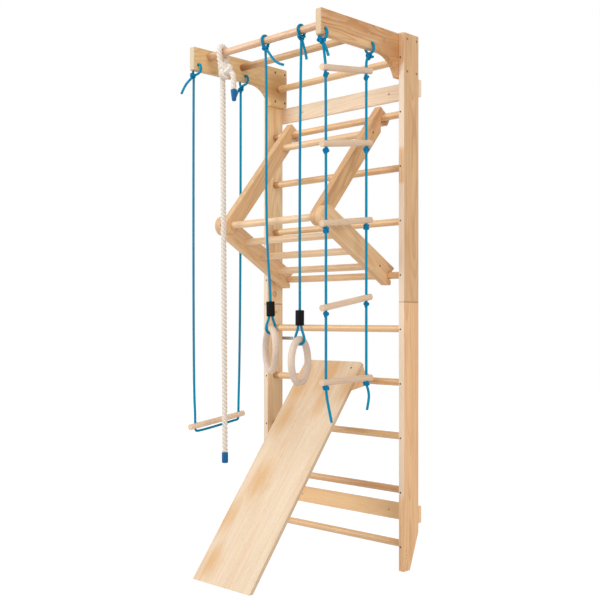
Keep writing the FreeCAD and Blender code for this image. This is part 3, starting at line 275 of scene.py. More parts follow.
def wood(name, turn, heart, pale, deep, width, seed, contrast, wander=1.0, knots=(), fleck=0.0, patch=0.22,
         edge=None, end_shade=None, seam=None, gloss=0.0, blush=(), ply=None):
    """Growth rings about a heart line, in object space.

    Along the grain is the local Z after the turn. A ring's share is the fraction of
    (distance from the heart line + slow waves) / ring width; the late wood darkens
    smoothly over it and stops at its end. Fine fibres are noise stretched along the
    grain, and patches are the same at a larger scale. A knot is a set of small rings
    about its own centre, and bends the grain. A seam is a dark line at one height.

    pale and deep are the tones of early and late wood, width is a ring's in millimetres,
    and the seed shifts every noise, so that no two woods show the same grain. contrast
    scales the rings, wander their waves, patch the warm patches and fleck the short marks
    of beech; gloss is the share of clear varnish.
    """
    f = new_finish(name)
    place = f.object_place()
    local = f.add("ShaderNodeMapping", {"vector_type": "TEXTURE"},
                  {"Vector": place, "Location": metres(heart), "Rotation": [math.radians(n) for n in turn]})
    x, y, z = f.split(local)

    def waves(over, lengthways, shift=(0, 0, 0), detail=2.0, roughness=0.5):
        """Noise of so many waves in a metre over the grain and along it, shifted by so many seeds."""
        scaled = (x * over, y * over, z * lengthways)
        moved = [value + seeds * seed if seeds else value for value, seeds in zip(scaled, shift)]
        return f.noise(f.join(*moved), detail, roughness)

    slow = waves(7, 1.3, (1, 0, 1))
    middle = waves(34, 5.0, (0, 1, 0), 3.0)
    distance = f.power(x * x + y * y, 0.5)
    distance = distance + (slow - 0.5) * (SLOW_WAVE * wander) + (middle - 0.5) * (MIDDLE_WAVE * wander)
    distance, knot_mask = knot_rings(f, place, middle, distance, knots)
    spacing = f.noise(f.join(distance * 55 + seed, 0.0, 0.0), 1.0)
    share = f.fraction(distance / (width * MM) + spacing * 2.2)
    late = f.ease(share, *LATE_RISE) * (1 - f.ease(share, *LATE_FALL))
    late = late * (0.4 + slow * 1.1) * contrast

    fibre = waves(900, 14, (0, 0, 1), roughness=0.6)
    streak = waves(130, 2.2, (1, 0, 0))
    tone = waves(9, 1.9, (0, 0, 3))
    warm = waves(16, 2.4, (1, 0, 0))
    late = late + f.ease(streak, *STREAKS) * STREAK_AMOUNT + f.ease(warm, *WARMTH) * patch
    colour = f.blend(f.maths("MINIMUM", late, 1.0), linear(*pale), linear(*deep))
    darker = tuple(n * 0.78 for n in deep)
    colour = f.blend(f.ease(fibre, *FIBRES) * FIBRE_AMOUNT, colour, linear(*darker))
    lighter = tuple(min(255, n * 1.02 + 4) for n in pale)
    colour = f.blend(f.ease(tone, *TONES) * TONE_AMOUNT, colour, linear(*lighter))
    if fleck:
        marks = waves(420, 70, detail=1.0)
        colour = f.blend(f.ease(marks, *MARKS) * fleck, colour, linear(*darker))

    across, depth_of, height_of = f.split(place)
    colour = blushed(f, place, middle, colour, deep, blush)
    if ply:
        colour = ply_edges(f, across, y, colour, ply)
    # Painted highlight: a paler front where glare falls on faces towards the front.
    if edge:
        colour = painted_front_glare(f, across, depth_of, height_of, colour, edge)
    # Painted shade near the ends of bars and rungs.
    if end_shade:
        colour = painted_end_shade(f, across, colour, end_shade)
    if seam:
        off = f.size(height_of - seam * MM)
        colour = f.blend((1 - f.ease(off, 0.7 * MM, 2.8 * MM)) * 0.7, colour, linear(*SEAM_GREY))
    if knot_mask:
        colour = f.blend(f.maths("MINIMUM", knot_mask, 1.0), colour, linear(*KNOT_BROWN))
    height = late * 0.4 + fibre * 0.6
    return f.surface(colour, 0.4 + fibre * 0.18, f.bump(height, GRAIN_DEPTH, GRAIN_BUMP),
                     specular_ior_level=0.5, coat_weight=gloss, coat_roughness=COAT_ROUGHNESS)


UPRIGHT = (0, 1.1, 0)
LEANING = (0.9, -0.8, 0)
ALONG_X = (0, 90, 0)
ALONG_Y = (90, 0, 1.2)

# Each side's name, its sign along X, and a seed that shifts its noise
SIDES = (("left", -1, 3.1), ("right", 1, 8.7))


def dress_uprights():
    """Rows of side, half, turn, heart line, two tones, ring width, seed, knots and gaps in the painted front
    glare.
    """
    # skin is the colour of the painted highlight, the glare on the front faces in front of y = front; the gap
    # high on the right upright is the arm's painted shadow across its front.
    seam_level, skin, front = 1100, (238, 221, 200), 275
    rows = (("left", "low", UPRIGHT, (-372, 300, 200), (250, 216, 170), (222, 168, 112), 8.5, 3.1,
             (((-387, 326, 1062), 9.0),), ()),
            ("left", "high", LEANING, (-450, 340, 1500), (254, 222, 176), (228, 176, 120), 7.5, 5.1,
             (((-387, 322, 1147), 15.0),), ()),
            ("right", "low", UPRIGHT, (372, 300, 200), (246, 200, 149), (216, 152, 94), 8.5, 8.7,
             (((412, 290, 66), 4.5),), ((-50, 300, 0.0),)),
            ("right", "high", LEANING, (450, 340, 1500), (230, 187, 140), (194, 140, 88), 7.5, 10.7,
             (), ((1586, 1729, 0.0), (2056, 2300, 0.9))))
    nodes = {"low": "_upright_lower", "high": "_upright_upper"}
    for side, half, turn, heart, pale, deep, width, seed, knots, bare in rows:
        material = wood("%s_upright_%s_pine" % (side, half), turn, heart, pale, deep, width, seed, 0.42, 1.6,
                        knots, patch=0.42, edge=(front, 0.75, skin, bare), seam=seam_level)
        dress(material, side + nodes[half])


def dress_arms():
    """The right arm has a warm streak along its middle, and both a warm patch by their brackets."""
    streak = [((387, far, 2196 - far / 20), 70, 0.55) for far in range(-160, 140, 50)]
    # The arms' front end faces get the painted highlight of the glare there, in their end colour.
    rows = (("left", -340, (231, 193, 138), (190, 137, 78), 7.1, 0.32, ((-359, 312, 2097), 10.0),
             [((-359, 320, 2110), 100, 0.8)], (206, 188, 156)),
            ("right", 340, (234, 192, 142), (192, 130, 74), 12.7, 0.74, ((387, 182, 2150), 5.0),
             [((387, 225, 2110), 150, 0.75)] + streak, (209, 180, 142)))
    for side, x, pale, deep, seed, contrast, branch, blush, end_glare in rows:
        material = wood(side + "_arm_pine", ALONG_Y, (x, 100, 2140), pale, deep, 11.0, seed, contrast, 3.2,
                        (branch,), patch=0.5, blush=blush, edge=(-189.5, 1.0, end_glare, ()))
        dress(material, side + "_arm")


def dress_unit():
    """Upper boards along their slope, lower boards along theirs, and all bars along X."""
    upper_tones = {"left": ((230, 190, 142), (198, 146, 96)), "right": ((224, 180, 130), (184, 130, 82))}
    for side, mark, seed in SIDES:
        dress(wood(side + "_unit_high_pine", (-35.3, 0.8, 0), (mark * 120 - 150, 120, 1680),
                   *upper_tones[side], 7.0, seed + 6, 0.55, 1.4, patch=0.35), "unit_%s_upper_board" % side)
        dress(wood(side + "_unit_low_pine", (59.6, 0, 0.8), (mark * 200, 130, 1290), (236, 198, 152),
                   (204, 152, 100), 7.5, seed + 9, 0.55, 1.4, patch=0.35), "unit_%s_lower_board" % side)
    bars = ["unit_apex_bar", "unit_upper_bar"] + ["unit_lower_bar_%d" % count for count in (1, 2, 3)]
    dress(wood("unit_bar_beech", ALONG_X, (0, 20, 1500), (245, 212, 170), (208, 154, 98), 3.4, 4.4, 0.45,
               fleck=0.3, patch=0.4, gloss=0.5), *bars)


def dress_slide():
    """The board's grain runs down its slope; the warm patches lie where the photo has them."""
    slope = math.degrees(math.atan2(257.5 + 390.5, 850))
    warm = (((-38, -110, 368), 150, 0.7), ((-114, -216, 229), 130, 0.7), ((-65, -338, 68), 120, 0.75),
            ((-80, 176, 743), 170, 0.8), ((56, 222, 803), 190, 0.75), ((190, 186, 756), 120, 0.7),
            ((-72, 76, 611), 130, 0.7), ((90, 120, 670), 110, 0.5))
    dress(wood("slide_ply", (-slope, 0.5, 0), (30, 60, 330), (231, 209, 181), (214, 162, 98), 19.0, 2.4, 0.2,
               4.5, fleck=0.3, patch=0.2, blush=warm, ply=(43, 165)), "slide_board")
    for side, mark, seed in SIDES:
        dress(wood(side + "_slide_hook_pine", (-42.7, 0, 0), (mark * 60, 250, 700), (238, 199, 152),
                   (206, 152, 98), 5.0, seed + 11, 0.5), "slide_hook_" + side)


def dress_wall_woods():
    """Planks, rungs, the two bars between the arms, and the dowels inside the uprights."""
    dress(wood("upper_plank_pine", ALONG_X, (0, 420, 2010), (253, 231, 203), (230, 188, 144), 8.0, 1.7, 0.38,
               1.5), "upper_wall_plank")
    dress(wood("lower_plank_pine", ALONG_X, (0, 410, 190), (255, 215, 165), (238, 180, 114), 9.0, 5.2, 0.32,
               2.6, patch=0.5), "lower_wall_plank")
    # The dark ends given to the wall rungs, the front bar and the middle bar are painted shade.
    dress(wood("wall_rung_beech", ALONG_X, (0, 300, 1100), (250, 211, 158), (198, 136, 76), 3.2, 6.1, 0.62,
               fleck=0.35, patch=0.5, end_shade=(346, 358, 0.6, (142, 92, 48), True), gloss=0.6),
          *["wall_rung_%02d" % count for count in range(1, 11)])
    dress(wood("front_bar_beech", ALONG_X, (0, 20, 2170), (229, 189, 152), (200, 146, 98), 3.4, 5.4, 0.45,
               fleck=0.3, patch=0.4, end_shade=(325, 366, 0.7, (186, 112, 66), True), gloss=0.5), "front_bar")
    dress(wood("middle_bar_beech", ALONG_X, (0, -20, 2160), (224, 184, 134), (186, 134, 78), 3.4, 2.4, 0.5,
               fleck=0.3, patch=0.5, end_shade=(190, 350, 0.95, (158, 100, 44), False), gloss=0.4), "middle_bar")
    dress(wood("joint_dowel_beech", UPRIGHT, (0, 300, 1100), (226, 192, 156), (200, 156, 112), 3.0, 1.0, 0.4),
          "upright_dowels")


def dress_turned_woods():
    """Ladder rungs, trapeze bar and rings."""
    dress(wood("ladder_rung_beech", (90, 0, 0), (360, 0, 1400), (231, 200, 169), (204, 165, 130), 3.0, 7.7,
               0.4, fleck=0.35, gloss=0.2), "ladder_rungs")
    dress(wood("trapeze_beech", (82.7, 0, 0), (-378, 0, 590), (243, 213, 184), (216, 178, 145), 3.0, 9.4, 0.4,
               fleck=0.35, gloss=0.2), "trapeze_bar")
    for side, x, level in (("left", 26, 906), ("right", 191, 864)):
        dress(wood(side + "_ring_beech", (0, 5, 0), (x, -90, level), (228, 205, 186), (200, 171, 146), 3.4,
                   x / 9, 0.4, fleck=0.35), side + "_ring_wood")


# Metals and plastics

def screw_metal(name, dark, wear_and_shade, metallic):
    """Steel as its plating colours it, paler in soft patches of wear."""
    patches_per_metre = 700
    f = new_finish(name)
    place = f.vector("SCALE", f.object_place())
    place.socket.node.inputs["Scale"].default_value = patches_per_metre
    patches = f.noise(place, 3.0)
    colour = f.blend(f.ease(patches, 0.5, 0.75) * 0.5, linear(*dark), linear(*wear_and_shade))
    return f.surface(colour, 0.34 + patches * 0.2, f.bump(patches, 0.2 * MM, 0.2), metallic=metallic,
                     specular_ior_level=0.2)


def dress_screws():
    """Browned steel, paler and yellower where the heads are plated or seated in the wood's colour."""
    # The slide screws' near-black is partly their own dark steel and partly painted shade of the holes they
    # sit in.
    rows = (("lock_steel", (96, 80, 54), (140, 122, 90), 0.4, "rung_lock_screws"),
            ("browned_steel", (40, 32, 26), (78, 64, 50), 0.5, "unit_screws"),
            ("black_steel_and_hole_shade", (10, 6, 3), (40, 24, 12), 0.1, "slide_screws"),
            ("plank_screw_steel", (66, 38, 16), (116, 76, 40), 0.3, "back_screws"),
            ("bolt_steel", (168, 124, 82), (200, 156, 112), 0.2, "arm_bolts"),
            ("nut_steel", (124, 84, 50), (160, 116, 76), 0.3, "arm_sleeve_nuts"),
            ("bar_screw_steel", (206, 184, 156), (226, 206, 182), 0.2, "bar_screws"))
    for name, dark, wear_and_shade, metallic, node in rows:
        dress(screw_metal(name, dark, wear_and_shade, metallic), node)


def strap_metal():
    """Plain grey steel strip, with brushing along X."""
    f = new_finish("strap_steel")
    x, y, z = f.split(f.object_place())
    brushed = f.noise(f.join(x * 60, y * 1500, z * 1500), 2.0)
    colour = f.blend(brushed, linear(150, 152, 154), linear(186, 188, 190))
    return f.surface(colour, 0.3 + brushed * 0.2, f.bump(brushed, 0.1 * MM, 0.2), metallic=0.85)


def cap_plastic():
    """Blue shrunk-on plastic, with faint rings from its uv length."""
    ring_rate = 900
    f = new_finish("blue_cap_plastic")
    across, along = f.spread()
    ring = f.sine(along * ring_rate)
    spots = f.noise(f.join(across * 18, along * 300, 0.0), 2.0)
    colour = f.blend(f.ease(spots, 0.35, 0.7), linear(0, 88, 142), linear(4, 104, 162))
    return f.surface(colour, 0.4 + spots * 0.14, f.bump(ring * 0.3 + spots, 0.4 * MM, 0.25),
                     specular_ior_level=0.25)


def sleeve_rubber():
    """Black moulded sleeve with fine grain."""
    f = new_finish("black_sleeve_rubber")
    across, along = f.spread()
    grain = f.noise(f.join(across * 90, along * 900, 0.0), 2.0)
    colour = f.blend(grain, linear(2, 2, 3), linear(9, 9, 10))
    return f.surface(colour, 0.55 + grain * 0.2, f.bump(grain, 0.3 * MM, 0.3), specular_ior_level=0.15)


# Cord and rope finishes

def braid(name, pale, deep):
    """A woven sheath from uv: two families of bands cross, and each cell shows one of them.

    s = strands * u + v / pitch and t = strands * u - v / pitch. In a cell whose
    floor(s) + floor(t) is even the band runs along s and bulges as sin(pi * fract(t)),
    otherwise along t.
    """
    strands, pitch, yarn_rate = 8, 9.0 * MM, 40
    f = new_finish(name)
    across, along = f.spread()
    s = across * strands + along / pitch
    t = across * strands - along / pitch
    odd = f.maths("PINGPONG", f.maths("FLOOR", s) + f.maths("FLOOR", t), 1.0)
    bulge_t = f.sine(f.fraction(t) * math.pi)
    bulge_s = f.sine(f.fraction(s) * math.pi)
    height = bulge_t * (1 - odd) + bulge_s * odd
    yarn = f.sine((s * (1 - odd) + t * odd) * yarn_rate)
    soft = f.noise(f.join(across * 30, along * 160, 0.0), 2.0)
    # Painted shade: the colour darkens to the deep tone in the hollows between the woven bands.
    colour = f.blend(f.power(height, 0.5) * (0.75 + soft * 0.4), linear(*deep), linear(*pale))
    return f.surface(colour, 0.62 + soft * 0.2, f.bump(height + yarn * 0.08, 1.2 * MM, 0.5),
                     specular_ior_level=0.15)


def twisted_cotton(name, pale, deep):
    """Yarns laid across each strand of the twisted rope, from uv, with loose fibres."""
    strands, yarns, yarn_rate = 3, 3, 520
    f = new_finish(name)
    across, along = f.spread()
    groove = 1 - f.size(f.fraction(across * strands) * 2 - 1)
    yarn = f.sine(across * (strands * 2 * math.pi * yarns) - along * yarn_rate)
    fuzz = f.noise(f.join(across * 60, along * 420, 0.0), 3.0, 0.6)
    shade = f.power(groove, 0.6) * (0.72 + yarn * 0.1 + fuzz * 0.35)
    colour = f.blend(f.maths("MINIMUM", shade, 1.0), linear(*deep), linear(*pale))
    return f.surface(colour, 0.8 + fuzz * 0.15, f.bump(yarn * 0.35 + fuzz, 1.2 * MM, 0.5), sheen_weight=0.3,
                     sheen_roughness=0.5)


BLUE = braid("blue_braid", (0, 154, 192), (0, 98, 134))
# The knots' darker deep tone deepens the painted shade in their weave.
KNOT_BLUE = braid("blue_knot_braid", (0, 142, 194), (0, 70, 110))
SLEEVE = sleeve_rubber()
CAP = cap_plastic()
ROPE = twisted_cotton("cream_cotton", (246, 237, 226), (212, 196, 178))


# Lines

def smooth_line(points, detail=24):
    """The line of the open NURBS spline whose control points are these, in millimetres."""
    data = bpy.data.curves.new("route", "CURVE")
    data.dimensions = "3D"
    spline = data.splines.new("NURBS")
    spline.points.add(len(points) - 1)
    controls = np.ones((len(points), 4))
    controls[:, :3] = np.array(points, float) * MM
    spline.points.foreach_set("co", controls.ravel())
    spline.order_u = 3
    spline.use_endpoint_u = True
    spline.resolution_u = detail
    data.resolution_u = detail
    holder = bpy.data.objects.new("route", data)
    mesh = bpy.data.meshes.new_from_object(holder)
    line = np.empty(len(mesh.vertices) * 3)
    mesh.vertices.foreach_get("co", line)
    bpy.data.meshes.remove(mesh)
    bpy.data.objects.remove(holder)
    bpy.data.curves.remove(data)
    return line.reshape(-1, 3)


def lengths(line):
    """How far along the line each of its points is, in metres."""
    steps = np.linalg.norm(np.diff(line, axis=0), axis=1)
    return np.concatenate([[0.0], np.cumsum(steps)])


def evenly(line, step):
    """The same line, read at equal distances along it."""
    far = lengths(line)
    stops = np.linspace(0, far[-1], max(3, int(far[-1] / step) + 1))
    return np.stack([np.interp(stops, far, line[:, axis]) for axis in range(3)], axis=1)


def unit(vectors):
    """Vectors of length 1 the same way."""
    return vectors / np.linalg.norm(vectors, axis=-1, keepdims=True)


def frames(line, level):
    """Two directions across a line at each of its points: side = level x way, rise = way x side."""
    way = unit(np.gradient(line, axis=0))
    side = unit(np.cross(np.array(level, float), way))
    return side, np.cross(way, side)


def shifted(points, base):
    return [tuple(np.array(point) + np.array(base)) for point in points]


# Skins

# Corners closer than this, in metres, are merged
SAME_PLACE = 2e-6


def closed_skin(name, points, across, along, material, body):
    """A closed skin on a grid of rows and columns, its seam and its poles merged, faces outwards."""
    rows, columns = points.shape[:2]
    index = np.arange(rows * columns).reshape(rows, columns)
    squares = [index[:-1, :-1], index[:-1, 1:], index[1:, 1:], index[1:, :-1]]
    faces = np.stack(squares, axis=-1).reshape(-1, 4)
    corners = points.reshape(-1, 3)
    a, b, c, d = (corners[faces[:, side]] - corners.mean(axis=0) for side in range(4))
    volume = (a * np.cross(b, c)).sum() + (a * np.cross(c, d)).sum()
    if volume < 0:
        faces = faces[:, ::-1]
    mesh = bpy.data.meshes.new(name)
    mesh.from_pydata(corners, [], faces)
    spread = np.stack([across.ravel(), along.ravel()], axis=1)
    mesh.uv_layers.new(name="length").data.foreach_set("uv", spread[faces.ravel()].ravel())
    merged = bmesh.new()
    merged.from_mesh(mesh)
    bmesh.ops.remove_doubles(merged, verts=merged.verts, dist=SAME_PLACE)
    merged.to_mesh(mesh)
    merged.free()
    mesh.shade_smooth()
    mesh.materials.append(material)
    piece = bpy.data.objects.new(name, mesh)
    bpy.context.scene.collection.objects.link(piece)
    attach(piece, body)
    return piece


def around(angle, side, rise):
    """Directions across a line: cos a * side + sin a * rise, for a grid of angles."""
    return np.cos(angle)[..., None] * side + np.sin(angle)[..., None] * rise


def domed(line, radius):
    """A line with its end rings shrunk to flat domes: the points, and the share of the radius at each."""
    steps, flatness = 5, 0.45
    turn = np.linspace(0, math.pi / 2, steps + 1)[1:]
    first = unit(line[0] - line[1]) * radius
    last = unit(line[-1] - line[-2]) * radius
    before = line[0] + first * np.sin(turn[::-1])[:, None] * flatness
    after = line[-1] + last * np.sin(turn)[:, None] * flatness
    shares = np.concatenate([np.cos(turn[::-1]), np.ones(len(line)), np.cos(turn)])
    return np.concatenate([before, line, after]), shares


def tube(name, line, diameter, level, material, body, sides=16, lobes=0, lay=None):
    """A round or lobed section carried along a line.

    Point(i, a) = line(i) + share(i) * reach(a, v) * (cos a * side(i) + sin a * rise(i)), where a
    turns once round the line and v is the distance along it. reach is the radius, or with
    lobes the edge of that many round strands that turn once in each lay length.
    """
    radius = diameter * MM / 2
    side, rise = frames(line, level)
    points, shares = domed(line, radius)
    extra = (len(points) - len(line)) // 2
    side = np.concatenate([np.repeat(side[:1], extra, 0), side, np.repeat(side[-1:], extra, 0)])
    rise = np.concatenate([np.repeat(rise[:1], extra, 0), rise, np.repeat(rise[-1:], extra, 0)])
    u, v = np.meshgrid(np.linspace(0, 1, sides + 1), lengths(points))
    angle = u * 2 * math.pi
    reach = np.full_like(angle, radius)
    if lobes:
        turned_by = u * lobes + v / (lay * MM) * lobes
        within = (turned_by - np.floor(turned_by) - 0.5) * 2 * math.pi / lobes
        strand = radius / (1 + 1 / math.sin(math.pi / lobes))
        centre = radius - strand
        inner = np.maximum(strand ** 2 - (centre * np.sin(within)) ** 2, 0)
        groove = 0.72 * radius
        reach = np.maximum(centre * np.cos(within) + np.sqrt(inner), groove)
        u = u + v / (lay * MM)
    reach = (reach * shares[:, None])[..., None]
    skin = points[:, None] + reach * around(angle, side[:, None], rise[:, None])
    return closed_skin(name, skin, u, v, material, body)


def knot(name, centre, size, turn, diameter, material, body, sides=14):
    """A tight overhand knot: a tube along a trefoil, which is closed and has three crossings.

    x = (sin t + 2 sin 2t) / 3, z = (cos t - 2 cos 2t) / 3, y = -sin 3t, each times its share of
    the size, then tilted about Y and turned about the upright axis.
    """
    steps = 96
    t = np.linspace(0, 2 * math.pi, steps + 1)
    wide, deep, high = (np.array(size, float) - diameter) / 2
    line = np.stack([(np.sin(t) + 2 * np.sin(2 * t)) / 3 * wide, -np.sin(3 * t) * deep,
                     (np.cos(t) - 2 * np.cos(2 * t)) / 3 * high], axis=1)
    spin, tip = (math.radians(n) for n in turn)
    tilt = np.array([[math.cos(tip), 0, math.sin(tip)], [0, 1, 0], [-math.sin(tip), 0, math.cos(tip)]])
    about = np.array([[math.cos(spin), -math.sin(spin), 0], [math.sin(spin), math.cos(spin), 0], [0, 0, 1]])
    line = line @ tilt.T @ about.T * MM
    way = np.roll(line[:-1], -1, 0) - np.roll(line[:-1], 1, 0)
    way = unit(np.concatenate([way, way[:1]]))
    out = line / np.maximum(np.linalg.norm(line, axis=1, keepdims=True), 1e-9)
    side = unit(np.cross(way, out))
    rise = np.cross(way, side)
    u, v = np.meshgrid(np.linspace(0, 1, sides + 1), lengths(line))
    middle = line + np.array(centre, float) * MM
    skin = middle[:, None] + diameter * MM / 2 * around(u * 2 * math.pi, side[:, None], rise[:, None])
    return closed_skin(name, skin, u, v, material, body)


def turned(name, foot, top, profile, material, body, flat=1.0):
    """A profile of (share of the length, radius) turned about the line from foot to top.

    Point(i, a) = foot + share(i) * (top - foot) + radius(i) * (cos a * side + flat * sin a * rise).
    """
    sides = 40
    foot, top = np.array(foot, float) * MM, np.array(top, float) * MM
    shares, radii = np.array(profile, float).T
    way = top - foot
    side = unit(np.cross([0.0, 1.0, 0.0], way))
    rise = unit(np.cross(way, side))
    u, along = np.meshgrid(np.linspace(0, 1, sides + 1), shares)
    radius = radii[:, None, None] * MM
    skin = foot + along[..., None] * way + radius * around(u * 2 * math.pi, side, flat * rise)
    return closed_skin(name, skin, u, along * np.linalg.norm(way), material, body)


def rounded_profile(radius, length, corner):
    """A cylinder's profile whose two rims are quarter rounds, closed at both poles."""
    points_of_a_round = 6
    turn = np.linspace(0, math.pi / 2, points_of_a_round)
    low = np.stack([(1 - np.cos(turn)) * corner, radius - corner + np.sin(turn) * corner], axis=1)
    high = np.stack([length - low[::-1, 0], low[::-1, 1]], axis=1)
    body = np.concatenate([[[0, 0]], low, high, [[length, 0]]])
    body[:, 0] /= length
    return body


# Blue cords

CORD = 10.0
# The woven sheath stands a little proud of the cord's plain size
SHEATH = 1.05

# Where the cords hang: the arms' holes, the level of the knots below them, and the front bar
FRONT_HOLE_Y, BACK_HOLE_Y = -166.5, 106.5
KNOT_LEVEL = 2083
TRAPEZE_X, LADDER_X = -389, 373
BAR_Y, BAR_LEVEL = -103.5, 2170


def cord(name, points, level, body, node, step=4.0):
    """A blue cord along its route; the part's own cord is hidden."""
    line = evenly(smooth_line(points), step * MM)
    piece = tube(name, line, CORD * SHEATH, level, BLUE, body)
    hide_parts(node)
    [n * MM for n in points[0]]


def blue_knot(name, centre, size, turn, body):
    return knot(name, centre, size, turn, CORD, KNOT_BLUE, body)


def hanger_loops(prefix, outline, node):
    """Through the arm's hole, standing a little off its outer face, and down both faces into the knot."""
    for mark, y in (("front", FRONT_HOLE_Y), ("back", BACK_HOLE_Y)):
        cord(prefix + mark, [(x, y, z) for x, z in outline], (0, 1, 0), "wall_ladder", node, step=1.5)


def trapeze():
    """Down from the front knot, beneath the bar and up to the back knot."""
    x, front, back = TRAPEZE_X, FRONT_HOLE_Y, BACK_HOLE_Y
    outline = [(-386, 2083), (-371, 2085), (-349, 2089), (-340, 2101), (-340, 2117), (-352, 2127),
               (-366, 2126), (-381, 2126), (-393, 2127), (-395.5, 2114), (-394, 2099), (-391, 2086)]
    hanger_loops("trapeze_hanger_", outline, "trapeze_hangers")
    knots = [blue_knot("trapeze_knot_front", (x, -171, KNOT_LEVEL), (28, 30, 23), (25, 10), "trapeze"),
             blue_knot("trapeze_knot_back", (x, back, 2067), (28, 26, 30), (70, -14), "trapeze")]
    down = [(front, KNOT_LEVEL), (-167.5, 2023), (-168.5, 1500), (-167.5, 1000), (-164, 700), (-159, 628),
            (-158.5, 574), (-158.3, 545.5)]
    beneath = [(-138, 544), (-33, 558), (72, 575)]
    up = [(92.3, 577), (92.5, 602), (93.5, 660), (99, 820), (104, 1150), (106, 1600), (back, 2023),
          (back, KNOT_LEVEL)]
    cord("trapeze_line", [(x, y, z) for y, z in down + beneath + up], (1, 0, 0), "trapeze", "trapeze_cord")
    tails = (("front", front, [(0, 0, 0), (-6, -22, -24), (-9, -44, -52), (-14, -56, -84)]),
             ("back", back, [(0, 14, 0), (2, -8, -12), (3, -22, -28), (0, -30, -50)]))
    for mark, y, tail in tails:
        cord("trapeze_knot_tail_" + mark, shifted(tail, (x, y, KNOT_LEVEL)), (1, 0, 0), "trapeze",
             "trapeze_cord", step=3)


def rope_ladder():
    """Two cords from the right arm, each with a knot under its end of every rung, and a bare tail."""
    x, body = LADDER_X, "rope_ladder"
    outline = [(370, 2084), (381, 2086), (393, 2091), (397, 2103), (396, 2118), (388, 2127),
               (379, 2126), (366, 2126), (354, 2127), (351.5, 2114), (354, 2099), (365, 2087)]
    hanger_loops("ladder_hanger_", outline, "ladder_hangers")
    top_knots = {"front": ((x - 2, -171, 2082), (36, 32, 27), (60, 12)),
                 "back": ((x + 1, 107, 2075), (34, 32, 30), (60, 28))}
    rows = (("front", FRONT_HOLE_Y, -147.5, 8, (1984, 1694.9, 1394.1, 1075, 791.1),
             [(2, 3, -34), (3, 12, -72), (5, 26, -128)]),
            ("back", BACK_HOLE_Y, 87.5, 0, (2014, 1728, 1421.9, 1115, 796.8),
             [(3, 10, -26), (4, 13, -56), (2, 2, -100)]))
    plain, plain_drop = (24, 24, 28), 26
    flat, flat_drop = (28, 26, 18), 22
    for mark, top_y, y, lead, levels, tail in rows:
        knots = [blue_knot("ladder_top_knot_" + mark, *top_knots[mark], body)]
        for count, level in enumerate(levels):
            size, drop = (flat, flat_drop) if level == levels[-1] else (plain, plain_drop)
            knots.append(blue_knot("ladder_%s_knot_%d" % (mark, count + 1), (x, y, level - drop), size,
                                   (30 + 67 * count, 24 - 13 * count), body))
        low = (x, y, levels[-1] - 25)
        route = [(x, top_y, KNOT_LEVEL), (x, y - lead, levels[0] + 50), (x, y, levels[0] - 10),
                 (x, y, levels[-1] + 40), low]
        cord("ladder_line_" + mark, route + shifted(tail, low), (1, 0, 0), body, "ladder_%s_cord" % mark)
    tail = [(-4, -8, 6), (6, 2, -12), (10, 11, -32), (12, 20, -56)]
    cord("ladder_knot_tail", shifted(tail, (x, FRONT_HOLE_Y, KNOT_LEVEL)), (1, 0, 0), body,
         "ladder_front_cord", step=3)


def ring_hanger(side, top_x, low_x, level, turn, knot_spin, sleeve_lift, bends, tail):
    """A loop round the front bar, a knot, a cord, and a sleeve with two strands round the ring below it."""
    body = side + "_ring_cord"
    ring_radius, sleeve_above_ring, line_start, knot_level = 86.0, 47, 2139.0, 2142
    sleeve_length, sleeve_radius, corner, flatness = 61, 19, 4.5, 0.82
    straight, into_sleeve = 60, 4
    across = np.array([math.cos(math.radians(turn)), math.sin(math.radians(turn)), 0])
    start = np.array([top_x, BAR_Y, line_start])
    hold = np.array([low_x, BAR_Y, level + ring_radius])
    low = hold + (0, 0, sleeve_above_ring)
    way = unit(start - low)
    top = low + way * sleeve_length
    knots = [blue_knot(side + "_ring_knot", (top_x, BAR_Y, knot_level), (38, 26, 28), (knot_spin, 8), body)]
    lift = np.array([0, 0, sleeve_lift])
    profile = rounded_profile(sleeve_radius, sleeve_length, corner)
    sleeve = turned(side + "_ring_sleeve_moulded", low + lift, top + lift, profile, SLEEVE, body,
                    flatness)
    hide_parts(side + "_ring_sleeve")
    route = [tuple(start)] + [(x, BAR_Y, z) for x, z in bends]
    route += [tuple(top + way * straight), tuple(top - way * into_sleeve)]
    cord(side + "_ring_line", route, (0, 1, 0), body, body)
    half = [(0, -30), (-6, -26), (-21.9, -5.8), (-18, 13.8), (0, 22.7)]
    loop = half + [(-y, z) for y, z in half[-2::-1]]
    cord(side + "_ring_bar_loop", [(top_x, BAR_Y + y, BAR_LEVEL + z) for y, z in loop], (1, 0, 0), body, body,
         step=2)
    strand = [(6, 62), (6.5, 44), (19.4, 10), (19.4, -9), (8, -19.6)]
    strands = strand + [(-far, rise) for far, rise in strand[::-1]]
    cord(side + "_ring_strands", [tuple(hold + across * far + (0, 0, rise)) for far, rise in strands],
         (-across[1], across[0], 0), body, body, step=2)
    cord(side + "_ring_knot_tail", shifted(tail, start), (0, 1, 0), body, body, step=3)


def ring_hangers():
    ring_hanger("left", -6, 26, 906, 60, 8, 2.0, [(-1, 2078), (0.5, 1900), (-1, 1500), (7, 1300)],
                [(0, 0, 2), (20, 0, -20), (42, 2, -50), (66, 4, -72), (98, 6, -84)])
    ring_hanger("right", 200, 191, 864, 22, 35, 8.0, [(198, 2079), (193, 1800), (190.5, 1400)],
                [(0, 0, 2), (8, 4, -30), (15, 7, -56), (20, 9, -84)])


# Climbing rope

ROPE_DIAMETER = 24
# The twisted strands stand a little proud of the rope's plain size
TWISTED_DIAMETER = 25.5
ROPE_Y = -121.5


